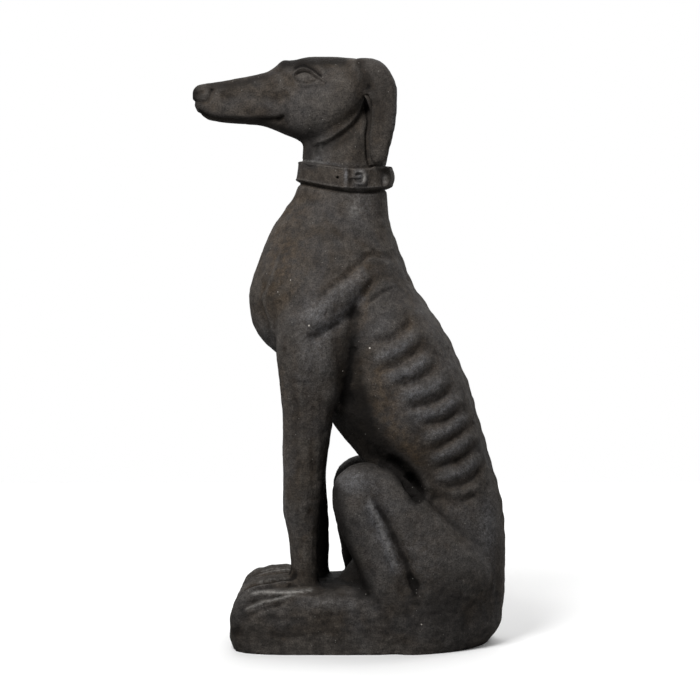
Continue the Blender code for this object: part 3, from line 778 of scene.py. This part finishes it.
def toe_route(spread, x):
    """How far from the middle plane a toe lies at that place along X: they fan out forwards."""
    return 48 + 9 * spread + (10 + 12 * spread) * fall(x, -55, 95)


def carve_toes(skin):
    """Grooves fan out over each forepaw from the leg, over its front and its outer side."""
    x, y, z = skin.points.T
    front = fall(x, -58, 26)
    front = front * rise(z, 14, 14) * fall(z, 102, 10)
    top = rise(z, 66, 10)
    for spread in BETWEEN_TOES:
        distance = np.abs(np.abs(y) - toe_route(spread, x))
        skin.lift -= 6.4 * front * bell(distance, 3.6)
    for spread in TOES:
        distance = np.abs(np.abs(y) - toe_route(spread, x))
        skin.lift += 1.2 * front * top * bell(distance, 2.6)
        # A claw at the tip of each toe
        skin.lift += 1.6 * np.exp(-(((x + 146) / 5) ** 2) - ((z - 34) / 7) ** 2 - (distance / 4) ** 2)
    # Three toes and their grooves on the outer side, fanning from the foot of the leg
    outer = rise(np.abs(y), 56, 12)
    toes = (
        ((-73, 89), (-103, 87), (-118, 83)),
        ((-44, 78), (-75, 75.5), (-112, 75), (-126, 71)),
        ((-60, 73), (-80, 70), (-110, 63), (-132, 53)),
    )
    grooves = (
        ((-70, 82), (-98, 81), (-124, 77)),
        ((-80, 73), (-106, 69.5), (-130, 62)),
        ((-76, 65), (-106, 56), (-134, 44)),
    )
    for toe in toes:
        skin.line(toe, 1.8, 1.9, ends=0.2, flank=False, part=outer)
    for groove in grooves:
        skin.line(groove, -2.4, 2.4, ends=0.2, flank=False, part=outer)
    # The hind foot's side: a shallow hollow below the toes, and a fuller edge behind them
    skin.line(((-140, 38), (-110, 46), (-60, 44)), -1.4, 6, part=outer)
    skin.line(((-50, 64), (-20, 66), (10, 66)), 1.2, 7, part=outer)
    # Knuckles on top of the paws
    for along in (-124, -104, -84):
        for spread in TOES:
            skin.swell((along, toe_route(spread, along), 86), (6, 4.5, 8), 1.3)


STRAP_HALF = 13.5
STRAP_THICK = 4.6


def collar_middle(x):
    """The height of the strap's middle: it hangs lower at the sides of the neck than at the throat."""
    share = rise(x, -66, 118)
    sag = 4 * share * (1 - share) * (1 + 0.5 * (share - 0.5))
    return 611.5 - 6.0 * share - 10.5 * sag


def step(distance, edge):
    """1 inside, falling to 0 over an edge outside zero distance."""
    t = np.clip(0.5 - distance / edge, 0.0, 1.0)
    return t * t * (3 - 2 * t)


def add_collar(skin):
    x, y, z = skin.points.T
    neck = (z > 572) & (z < 642)
    above = z - collar_middle(x)
    strap = step(np.abs(above) - STRAP_HALF, 1.5) * neck
    skin.lift += STRAP_THICK * strap
    # A rounded rim along both edges of the strap
    skin.lift += 0.6 * neck * bell(np.abs(above) - 11.8, 1.2)
    left = (y < 0) & neck
    # A hole punched in the strap
    hole = np.hypot(x + 15, above)
    skin.lift -= 3.4 * step(hole - 1.5, 1.4) * left
    skin.lift += 0.4 * left * bell(hole - 3.2, 1.0)
    # The strap's turned end, and its other end beyond the buckle
    for place, height in ((-4.5, 1.3), (23.0, 0.9)):
        skin.lift += height * left * strap * bell(x - place, 2.2)
    skin.lift -= left * strap * bell(x - 0.5, 1.4)
    # The buckle: a thick squarish frame, open towards the throat, with the pin across it
    ring_middle = above - 0.5
    far = np.cbrt(np.abs(x - 10.8) ** 3 + np.abs(ring_middle / 1.08) ** 3)
    open_side = np.clip((x - 1.5) / 5.0, 0.25, 1.0)
    band = bell(far - 7.4, 2.7) * open_side
    inside = step(far - 4.2, 2.0)
    pin = step(np.abs(ring_middle - 1.2) - 1.7, 1.4) * step(np.abs(x - 5.5) - 6.5, 1.6)
    skin.lift += left * (4.2 * band + 1.3 * inside + 2.0 * pin)
    # The loop at the nape, with its upright edges
    loop = step(np.abs(y) - 19, 8.0) * (x > 20)
    skin.lift += loop * strap * (5.8 - 3.6 * (above / STRAP_HALF) ** 2)
    skin.lift += bell(x - 43.5, 1.8) * strap
    skin.lift -= strap * bell(x - 39.5, 1.6)
    # The groove pressed round the neck below the strap, and a faint one above it
    skin.lift -= 2.2 * neck * bell(above + 16.6, 2.4)
    skin.lift -= 0.8 * neck * bell(above - 16.0, 1.6)


def weather(skin):
    """The hand-worked unevenness of the cast surface: broad lumps, small dents and pocks."""
    points = skin.points
    z = points[:, 2]
    # Half as rough on the head and collar
    calm = 1.0 - 0.5 * rise(z, 570, 20)
    skin.lift += 0.55 * calm * lumps(points, 26.0)
    skin.lift += 0.52 * calm * lumps(points, 11.0, 3.1)
    skin.lift += 0.32 * calm * lumps(points, 5.0, 7.7)
    # Long strokes down the legs, and lumpier stone on the foot block
    strokes = lumps(points * (1.0, 1.0, 0.16), 4.2, 5.2)
    leg = bell(points[:, 0] + 58, 34) * fall(z, 400, 60) * rise(z, 90, 20)
    skin.lift += 0.80 * leg * strokes
    block = fall(z, 84, 20)
    skin.lift += block * (0.5 * lumps(points, 15.0, 1.9) + 0.3 * lumps(points, 6.5, 4.4))
    # Pocks, where the finer lumps are deepest
    pits = np.clip(-lumps(points, 6.0, 9.3) - 0.58, 0.0, 1.0)
    skin.lift -= 2.2 * calm * pits


def sit_flat(figure):
    """Cuts the casting flat at the ground and closes its underside."""
    mesh = figure.data
    work = bmesh.new()
    work.from_mesh(mesh)
    everything = work.verts[:] + work.edges[:] + work.faces[:]
    cut = bmesh.ops.bisect_plane(
        work, geom=everything, dist=1e-7, plane_co=(0, 0, 0), plane_no=(0, 0, -1), clear_outer=True
    )
    corners = [item for item in cut["geom_cut"] if isinstance(item, bmesh.types.BMVert)]
    bmesh.ops.remove_doubles(work, verts=corners, dist=1e-5)
    rim = [edge for edge in work.edges if edge.is_boundary]
    bmesh.ops.contextual_create(work, geom=rim)
    bmesh.ops.triangulate(work, faces=work.faces[:])
    bmesh.ops.recalc_face_normals(work, faces=work.faces[:])
    work.to_mesh(mesh)
    work.free()


def thin_out(figure):
    """Fewer triangles, kept small where the carving needs them."""
    thinner = figure.modifiers.new("thin out", "DECIMATE")
    thinner.use_collapse_triangulate = True
    thinner.ratio = TRIANGLES / (2.0 * len(figure.data.polygons))
    applied(figure)


def centre_in_box(figure):
    """Moves the casting so that the middle of its length and width is the solid's."""
    low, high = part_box("greyhound")
    corners = np.array([tuple(corner) for corner in figure.bound_box])
    middle = (corners.min(axis=0) + corners.max(axis=0)) / 2
    shift = (low[0] + high[0]) / 2 - middle[0], (low[1] + high[1]) / 2 - middle[1]
    figure.data.transform(Matrix.Translation((shift[0], shift[1], 0.0)))


def store(mesh, name, values):
    attribute = mesh.attributes.new(name, "FLOAT", "POINT")
    attribute.data.foreach_set("value", np.asarray(values, np.float32))


# Rounds of smoothing before a point's depth is read, for the fine and for the broad hollows
NEAR_TURNS = 4
BROAD_TURNS = 24

# Paint: spots and strokes in the same form, each with a strength in place of the height
STAIN_SPOTS = (
    ((112, 75, 330), (22, 40, 60), 0.3),
    ((80, 75, 410), (24, 40, 44), 0.4),
    ((12, 75, 474), (13, 30, 9), 0.8),
    ((20, 80, 446), (10, 40, 46), 0.7),
    ((-84, 60, 500), (36, 70, 66), 0.75),
    ((-76, 50, 562), (14, 50, 20), 0.6),
    ((-182, 14, 696), (8, 16, 8), 0.8),
    ((-24, 35, 750), (22, 40, 9), 0.8),
    ((-60, 50, 230), (12, 30, 120), 0.25),
    ((88, 80, 104), (28, 60, 34), 0.5),
    # The spot below, on the neck in front of the ear, is brown painted shade
    ((14, 45, 638), (22, 30, 24), 0.35),
    ((36, 80, 300), (30, 40, 44), 0.6),
)
STAIN_STROKES = (
    (((32, 366), (44, 316), (66, 268), (94, 226)), 0.95, 14),
    (((-84, 370), (-85, 300), (-85, 220)), 0.6, 7),
)

# Painted shade where shadow falls in the deep places: behind the arm, under the belly, in the notch,
# between the legs;
# then on the head: at the throat, brow, nose and corner of the mouth, and beside the ear
PAINTED_SHADE_SPOTS = (
    ((6, 70, 285), (22, 60, 44), 1),
    ((2, 84, 372), (13, 40, 44), 0.6),
    ((14, 75, 330), (14, 40, 40), 0.35),
    ((30, 75, 448), (24, 40, 14), 0.3),
    ((88, 80, 197), (13, 60, 13), 0.8),
    ((24, 60, 240), (26, 60, 18), 0.7),
    ((-14, 50, 90), (30, 90, 14), 0.95),
    ((-30, 34, 130), (16, 20, 60), 0.8),
    ((-26, 50, 84), (14, 60, 10), 0.9),
    ((104, 90, 58), (46, 60, 36), 0.68),
    ((-115, 40, 92), (34, 50, 8), 0.55),
    ((-146, 60, 26), (24, 90, 30), 0.45),
    ((14, 90, 140), (14, 40, 40), 0.15),
    ((-100, 110, 30), (60, 40, 14), 0.35),
    ((-76, 50, 515), (30, 60, 60), 0.2),
    ((-54, 35, 634), (14, 30, 24), 0.95),
    ((-46, 36, 657), (26, 40, 11), 0.5),
    ((34, 50, 700), (20, 40, 58), 0.6),
    ((15, 45, 632), (8, 30, 18), 0.6),
    ((9, 45, 600.5), (4.5, 20, 4.5), 0.4),
    ((-50, 40, 750), (60, 40, 13), 0.5),
    ((-202, 6, 709), (14, 20, 17), 1.1),
    ((-190, 14, 690), (12, 20, 8), 0.35),
    ((-98, 28, 682), (22, 20, 7), 0.35),
)
PAINTED_SHADE_STROKES = (
    (NOTCH, 1.2, 10, 10, 0.05),
    (((-8, 330), (12, 288), (38, 258), (64, 234), (94, 200)), 1, 20, 8),
    (SHIN_CREASE, 0.2, 11, 5, 0.1),
    (((-17, 224), (-17, 200), (-8, 150), (10, 100), (28, 60)), 0.95, 12),
    (((-34, 300), (-34, 230), (-40, 96)), 0.6, 7),
    (((-66, 300), (-64, 210), (-62, 116)), 0.2, 12),
    (((-81, 430), (-82, 350)), 0.25, 8),
    (moved(JAW[2:], 9, -9), 0.6, 8),
    (EAR_RECESS, 0.45, 8, 6, 0.02),
    (((24, 700), (25, 690), (25, 650), (26, 618)), 0.45, 5),
    (((-198, 686), (-140, 675), (-90, 667), (-60, 648)), 0.65, 7, 7, 0.03),
    (((-94, 743), (-74, 751), (-40, 752), (4, 750)), 0.85, 8),
    (((-190, 719), (-140, 725), (-100, 736)), 0.8, 9),
    (((-74, 737), (-62, 743), (-46, 738), (-32, 725)), 0.45, 2.6),
)

# Paler places, partly wear and partly painted highlights, with painted light lifting the shade in the
# shoulder's groove and under the chest: ribs, shoulder, chest, knee, thigh, shin, rump, buckle, loop and
# neck;
# then the ear's rim and the edges of the foreleg and of the foot
WEAR_AND_HIGHLIGHT_SPOTS = (
    ((84, 80, 322), (36, 40, 46), 0.38),
    ((-45, 85, 390), (22, 40, 56), 0.5),
    ((42, 80, 405), (24, 40, 22), 0.35),
    ((140, 70, 325), (22, 60, 40), 0.25),
    ((-104, 50, 395), (18, 50, 18), 0.4),
    ((40, 95, 182), (26, 60, 40), 0.35),
    ((138, 80, 168), (24, 60, 18), 0.25),
    ((4, 95, 214), (26, 50, 16), 0.95),
    ((88, 95, 128), (34, 60, 44), 0.35),
    ((178, 60, 150), (13, 70, 50), 0.7),
    ((14, 45, 600), (7, 20, 11), 0.85),
    ((-4, 45, 602), (2.4, 20, 12), 0.9),
    ((44, 20, 600), (4, 30, 10), 0.45),
    ((20, 45, 565), (20, 30, 24), 0.4),
    ((-40, 45, 628), (5, 30, 8), 0.6),
)
WEAR_AND_HIGHLIGHT_STROKES = (
    (((-72, 66), (-30, 64), (12, 62)), 0.35, 8),
    (((54, 744), (60, 715), (60, 690), (55, 650)), 0.45, 2.4),
    (((-84, 330), (-84, 200), (-76, 120)), 0.4, 3),
)
WEAR_AND_HIGHLIGHT_FLANK_STROKES = (
    *((moved(rib, 0, -1), 0.7, 6, 6, 0.3) for rib in RIBS),
    (SHOULDER_BAND, 0.45, 10),
    (((20, 452), (-10, 420), (-40, 398)), 0.65, 9),
    (((84, 440), (108, 400), (136, 346)), 0.28, 12),
    (((22, 196), (34, 168), (48, 132), (60, 96)), 0.85, 8),
    (((-62, 625), (-20, 617), (-4, 614)), 0.5, 2),
)

# Pale dusting and painted highlights on the toes, the buckle, the loop, the strap's edge, the neck and the
# shin's ridge
DUST_AND_HIGHLIGHT_SPOTS = (
    ((7, 44, 560), (6, 20, 10), 0.28),
    ((-36, 44, 640), (4, 20, 9), 0.22),
)
DUST_AND_HIGHLIGHT_STROKES = (
    (((-42, 78), (-75, 76), (-112, 75), (-126, 71)), 0.65, 1.4),
    (((-73, 89), (-103, 87), (-118, 83)), 0.35, 1.3),
    (((-66, 75), (-84, 70), (-110, 63), (-132, 53)), 0.45, 1.2),
)
DUST_AND_HIGHLIGHT_FLANK_STROKES = (
    (((12, 608), (18, 605), (19.5, 599), (17, 592)), 0.5, 1.8),
    (((47, 606), (47, 592)), 0.4, 2.4),
    (((-62, 625), (-30, 619)), 0.25, 1.4),
    (((23, 197), (33, 174), (43, 148), (53, 122), (61, 100)), 0.22, 2.6),
)
PAINT = (
    ("stain", STAIN_SPOTS, STAIN_STROKES, ()),
    ("painted_shade", PAINTED_SHADE_SPOTS, PAINTED_SHADE_STROKES, ()),
    ("wear_and_highlight", WEAR_AND_HIGHLIGHT_SPOTS, WEAR_AND_HIGHLIGHT_STROKES, WEAR_AND_HIGHLIGHT_FLANK_STROKES),
    ("dust_and_highlight", DUST_AND_HIGHLIGHT_SPOTS, DUST_AND_HIGHLIGHT_STROKES, DUST_AND_HIGHLIGHT_FLANK_STROKES),
)


def paint(figure):
    """Where the stone is hollow, stained, pale with wear or dusting, and where shade and highlights are
    painted on it, as values at the points.
    """
    skin = Skin(figure.data)
    # How far each point lies below or above the smoothed surface round it
    start = skin.points.T
    smooth = start
    for turn in range(1, BROAD_TURNS + 1):
        smooth = np.array([column + 0.8 * (skin.neighbours_mean(column) - column) for column in smooth])
        if turn == NEAR_TURNS:
            near = np.sum((smooth - start) * skin.normals.T, axis=0)
    broad = np.sum((smooth - start) * skin.normals.T, axis=0)
    for _ in range(2):
        near = skin.neighbours_mean(near)
        broad = skin.neighbours_mean(broad)
    hollow = np.clip(near / 0.55, -1, 1) * 0.45 + np.clip(broad / 2.2, -1, 1) * 0.55
    store(figure.data, "hollow", hollow)
    for name, spots, strokes, flank_strokes in PAINT:
        skin.lift[:] = 0.0
        for spot in spots:
            skin.swell(*spot)
        for stroke in strokes:
            skin.line(*stroke, flank=False)
        for stroke in flank_strokes:
            skin.line(*stroke)
        store(figure.data, name, np.clip(skin.lift, 0.0, 1.0))


# Small white chips: place on the side view, and size, in grains
CHIPS = (
    (-50, 409, 1.1),
    (26, 381, 1.1),
    (-90, 452, 0.6),
    (-74, 467, 0.6),
    (90, 38, 0.8),
    (-8, 352, 0.6),
)


class Nodes:
    """A material's node tree, with short ways to add and join its nodes."""

    def __init__(self, tree):
        self.tree = tree
        tree.nodes.clear()

    def add(self, kind, **settings):
        node = self.tree.nodes.new(kind)
        for name, value in settings.items():
            setattr(node, name, value)
        return node

    def join(self, source, target):
        self.tree.links.new(source, target)

    def put(self, socket, value):
        """A number or colour on the socket, or a link to it."""
        if isinstance(value, bpy.types.NodeSocket):
            self.join(value, socket)
        else:
            socket.default_value = value

    def maths(self, operation, a, b=0.0, c=0.0, clamp=False):
        node = self.add("ShaderNodeMath", operation=operation, use_clamp=clamp)
        for socket, value in zip(node.inputs, (a, b, c)):
            self.put(socket, value)
        return node.outputs[0]

    def times(self, a, b, clamp=False):
        return self.maths("MULTIPLY", a, b, clamp=clamp)

    def value(self, name):
        return self.add("ShaderNodeAttribute", attribute_name=name).outputs["Fac"]

    def noise(self, place, size, detail=2.0, rough=0.5, twist=0.0):
        """Noise between 0 and 1 in lumps of that size in metres."""
        node = self.add("ShaderNodeTexNoise")
        self.put(node.inputs["Vector"], place)
        self.put(node.inputs["Scale"], 1.0 / size)
        self.put(node.inputs["Detail"], detail)
        self.put(node.inputs["Roughness"], rough)
        self.put(node.inputs["Distortion"], twist)
        return node.outputs["Fac"]

    def ramp(self, value, low, high, at_low=0.0, at_high=1.0):
        node = self.add("ShaderNodeMapRange", interpolation_type="SMOOTHSTEP")
        for socket, number in zip(node.inputs, (value, low, high, at_low, at_high)):
            self.put(socket, number)
        return node.outputs[0]

    def mix(self, share, a, b, blend="MIX"):
        node = self.add("ShaderNodeMix", data_type="RGBA", blend_type=blend)
        self.put(node.inputs[0], share)
        self.put(node.inputs[6], a)
        self.put(node.inputs[7], b)
        return node.outputs[2]

    def tint(self, colour, factor):
        return self.mix(1.0, colour, factor, "MULTIPLY")

    def stretch(self, place, scale):
        node = self.add("ShaderNodeMapping")
        self.put(node.inputs["Vector"], place)
        node.inputs["Scale"].default_value = scale
        return node.outputs[0]

    def surface(self, colour, rough, specular, normal=None):
        """The shader and the output, as the last nodes of a material."""
        shader = self.add("ShaderNodeBsdfPrincipled")
        self.put(shader.inputs["Base Color"], colour)
        self.put(shader.inputs["Roughness"], rough)
        self.put(shader.inputs["Specular IOR Level"], specular)
        if normal:
            self.join(normal, shader.inputs["Normal"])
        self.join(shader.outputs[0], self.add("ShaderNodeOutputMaterial").inputs["Surface"])


def new_material(name):
    material = bpy.data.materials.new(name)
    material.use_nodes = True
    return material, Nodes(material.node_tree)


# The stone's colours, in linear light
DARK = (0.0298, 0.0246, 0.0205, 1.0)
MIDDLE = (0.0520, 0.0446, 0.0382, 1.0)
BLUISH = (0.0540, 0.0556, 0.0604, 1.0)
BROWN = (0.0700, 0.0486, 0.0292, 1.0)
RAISED = (0.0900, 0.0835, 0.0775, 1.0)
WEAR_AND_HIGHLIGHT_GREY = (0.1120, 0.1110, 0.1160, 1.0)
PAINTED_SHADE_COLOUR = (0.0060, 0.0050, 0.0043, 1.0)
DUST_AND_HIGHLIGHT_PALE = (0.360, 0.345, 0.325, 1.0)
SANDY = (0.30, 0.285, 0.26, 1.0)
CHALKY = (0.56, 0.52, 0.47, 1.0)


def chip_mask(n, parts, grain):
    """1 on the white chips of the left side, their edges broken up by the grain."""
    chipped = None
    for x, z, size in CHIPS:
        across = n.maths("SUBTRACT", parts.outputs[0], x * GRAIN)
        up = n.maths("SUBTRACT", parts.outputs[2], z * GRAIN)
        far = n.maths("SQRT", n.maths("ADD", n.times(across, across), n.times(up, up)))
        far = n.maths("MULTIPLY_ADD", grain, 0.0016, far)
        mask = n.ramp(far, (size + 0.4) * GRAIN, (size + 1.1) * GRAIN, 1.0, 0.0)
        chipped = mask if chipped is None else n.maths("MAXIMUM", chipped, mask)
    return n.times(chipped, n.maths("LESS_THAN", parts.outputs[1], 0.0))


def cast_stone():
    """Weathered cast stone: dark, granular, brown and bluish in patches, paler on the high places, with
    painted shade in its hollows and painted highlights.
    """
    material, n = new_material("cast_stone")
    place = n.add("ShaderNodeTexCoord").outputs["Object"]
    # Noises, with their sizes in metres
    grain = n.noise(place, 0.0016, 3.0, 0.62)
    crumb = n.noise(place, 0.0050, 4.0, 0.60)
    clot = n.noise(place, 0.0105, 3.0, 0.62)
    blotch = n.noise(place, 0.022, 4.0, 0.58, 0.4)
    broad = n.noise(place, 0.085, 3.0, 0.55, 0.6)
    scratch = n.noise(n.stretch(place, (1.0, 1.0, 0.16)), 0.0030, 3.0, 0.6)
    streak = n.noise(n.stretch(place, (0.34, 0.34, 1.0)), 0.0070, 4.0, 0.65)
    hollow = n.value("hollow")

    colour = n.mix(n.ramp(blotch, 0.30, 0.68), DARK, MIDDLE)
    colour = n.mix(n.times(n.ramp(broad, 0.46, 0.64), 0.42), colour, BLUISH)
    # Brown lies as a wash, faint everywhere and full where the stains are
    stained = n.maths("MULTIPLY_ADD", n.value("stain"), 1.0, 0.18)
    stained = n.times(stained, n.ramp(clot, 0.30, 0.66, 0.30, 1.0))
    colour = n.mix(n.times(stained, 0.68, clamp=True), colour, BROWN)
    # The high places paler grey, partly from wear and partly a painted highlight
    high = n.ramp(n.times(hollow, -1.0), 0.02, 0.75)
    colour = n.mix(n.times(high, 0.38), colour, RAISED)
    # Paler still where there is wear, where highlights are painted, and where painted light lifts the
    # shade
    wear_and_highlight_share = n.times(n.value("wear_and_highlight"), n.ramp(crumb, 0.34, 0.62, 0.45, 0.90))
    colour = n.mix(wear_and_highlight_share, colour, WEAR_AND_HIGHLIGHT_GREY)
    # Light and dark grains, scratches, clots and crumbs
    colour = n.tint(colour, n.ramp(grain, 0.28, 0.72, 0.60, 1.44))
    colour = n.tint(colour, n.ramp(scratch, 0.32, 0.68, 0.93, 1.07))
    colour = n.tint(colour, n.ramp(clot, 0.34, 0.66, 0.84, 1.16))
    colour = n.tint(colour, n.ramp(crumb, 0.30, 0.70, 0.88, 1.12))
    # Level streaks along the block of feet, which end between these heights in metres
    parts = n.add("ShaderNodeSeparateXYZ")
    n.join(place, parts.inputs[0])
    above_block = n.ramp(parts.outputs[2], 0.070, 0.086)
    streaks = n.mix(above_block, n.ramp(streak, 0.34, 0.66, 0.70, 1.22), (1.0, 1.0, 1.0, 1.0))
    colour = n.tint(colour, streaks)
    # Painted shade in the hollows and the deep places, then pale dusting and painted highlights over it
    low = n.ramp(hollow, 0.05, 0.85)
    painted_shade_share = n.maths("ADD", n.times(low, 0.70), n.times(n.value("painted_shade"), 0.90), clamp=True)
    colour = n.mix(painted_shade_share, colour, PAINTED_SHADE_COLOUR)
    dust_and_highlight_share = n.times(n.value("dust_and_highlight"), n.ramp(crumb, 0.34, 0.60, 0.25, 1.0))
    colour = n.mix(dust_and_highlight_share, colour, DUST_AND_HIGHLIGHT_PALE)
    # Pale specks of sand in a few cells of 4.2 mm, and the white chips
    sand = n.add("ShaderNodeTexVoronoi", feature="F1")
    n.put(sand.inputs["Vector"], place)
    n.put(sand.inputs["Scale"], 1.0 / 0.0042)
    lot = n.add("ShaderNodeSeparateColor")
    n.join(sand.outputs["Color"], lot.inputs[0])
    drawn = n.maths("GREATER_THAN", lot.outputs[0], 0.955)
    speck = n.times(drawn, n.ramp(sand.outputs["Distance"], 0.10, 0.22, 1.0, 0.0))
    colour = n.mix(n.times(speck, 0.42), colour, SANDY)
    colour = n.mix(chip_mask(n, parts, grain), colour, CHALKY)

    rough = n.maths("MULTIPLY_ADD", wear_and_highlight_share, -0.26, 0.80)
    rough = n.maths("ADD", rough, n.ramp(grain, 0.3, 0.7, -0.10, 0.12), clamp=True)
    # Relief: grain, crumbs and fine scratches down the legs
    height = n.times(grain, 0.55)
    height = n.maths("MULTIPLY_ADD", crumb, 1.10, height)
    height = n.maths("MULTIPLY_ADD", scratch, 0.35, height)
    bump = n.add("ShaderNodeBump")
    bump.inputs["Strength"].default_value = 0.95
    bump.inputs["Distance"].default_value = 0.0013
    n.join(height, bump.inputs["Height"])
    n.surface(colour, rough, 0.12, bump.outputs[0])
    return material


def floor_material():
    """Smooth white studio board with the faintest mottling."""
    material, n = new_material("studio_board")
    place = n.add("ShaderNodeTexCoord").outputs["Object"]
    cloud = n.noise(place, 0.6, 2.0)
    colour = n.mix(cloud, (0.93, 0.93, 0.93, 1.0), (0.96, 0.96, 0.955, 1.0))
    # The camera sees the board white; the light that it throws back is held down, as by black cards
    seen = n.add("ShaderNodeLightPath").outputs["Is Camera Ray"]
    colour = n.mix(seen, (0.30, 0.30, 0.30, 1.0), colour)
    n.surface(colour, 0.9, 0.1)
    return material


def make_casting():
    figure = rough_figure()
    skin = Skin(figure.data)
    soften_joints(skin)
    finer_net(figure)
    skin = Skin(figure.data)
    carve(skin, TRUNK_MARKS)
    carve_spine(skin)
    carve(skin, LIMB_MARKS)
    carve_toes(skin)
    carve(skin, HEAD_MARKS)
    skin.raise_lifted()
    add_collar(skin)
    weather(skin)
    skin.raise_lifted()
    thin_out(figure)
    sit_flat(figure)
    centre_in_box(figure)
    paint(figure)
    figure.data.shade_smooth()
    figure.data.materials.clear()
    figure.data.materials.append(cast_stone())
    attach(figure, "root")
    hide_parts("greyhound")
    return figure


def make_studio():
    """A pale floor, a little light all round, three soft lamps, and the photograph's camera."""
    mesh = bpy.data.meshes.new("floor")
    side, near, far = 3.5, -3.5, 2.6
    mesh.from_pydata(
        [(-side, near, 0), (side, near, 0), (side, far, 0), (-side, far, 0)], [], [(0, 1, 2, 3)]
    )
    floor = object_from("floor", mesh)
    floor.data.materials.append(floor_material())

    scene = bpy.context.scene
    scene.view_settings.view_transform = "Standard"
    world = bpy.data.worlds.new("studio")
    scene.world = world
    world.use_nodes = True
    sky = Nodes(world.node_tree)
    seen = sky.add("ShaderNodeLightPath").outputs["Is Camera Ray"]
    ground = sky.add("ShaderNodeBackground")
    ground.inputs["Color"].default_value = (1.0, 1.0, 1.0, 1.0)
    sky.join(sky.ramp(seen, 0.0, 1.0, 0.14, 1.0), ground.inputs["Strength"])
    sky.join(ground.outputs[0], sky.add("ShaderNodeOutputWorld").inputs["Surface"])

    for name, place, power, size in LAMPS:
        light = bpy.data.lights.new(name, "AREA")
        light.energy = power
        light.size = size
        lamp = object_from(name, light)
        lamp.location = place
        aim = Vector(LAMPS_AIM) - Vector(place)
        lamp.rotation_euler = aim.to_track_quat("-Z", "Y").to_euler()

    lens = bpy.data.cameras.new("camera")
    lens.sensor_width = SENSOR
    lens.lens = SENSOR * FOCAL_PIXELS / PICTURE_PIXELS
    camera = object_from("camera", lens)
    camera.location = CAMERA
    camera.rotation_euler = (math.radians(90.0), 0.0, 0.0)
    scene.camera = camera


make_casting()
make_studio()
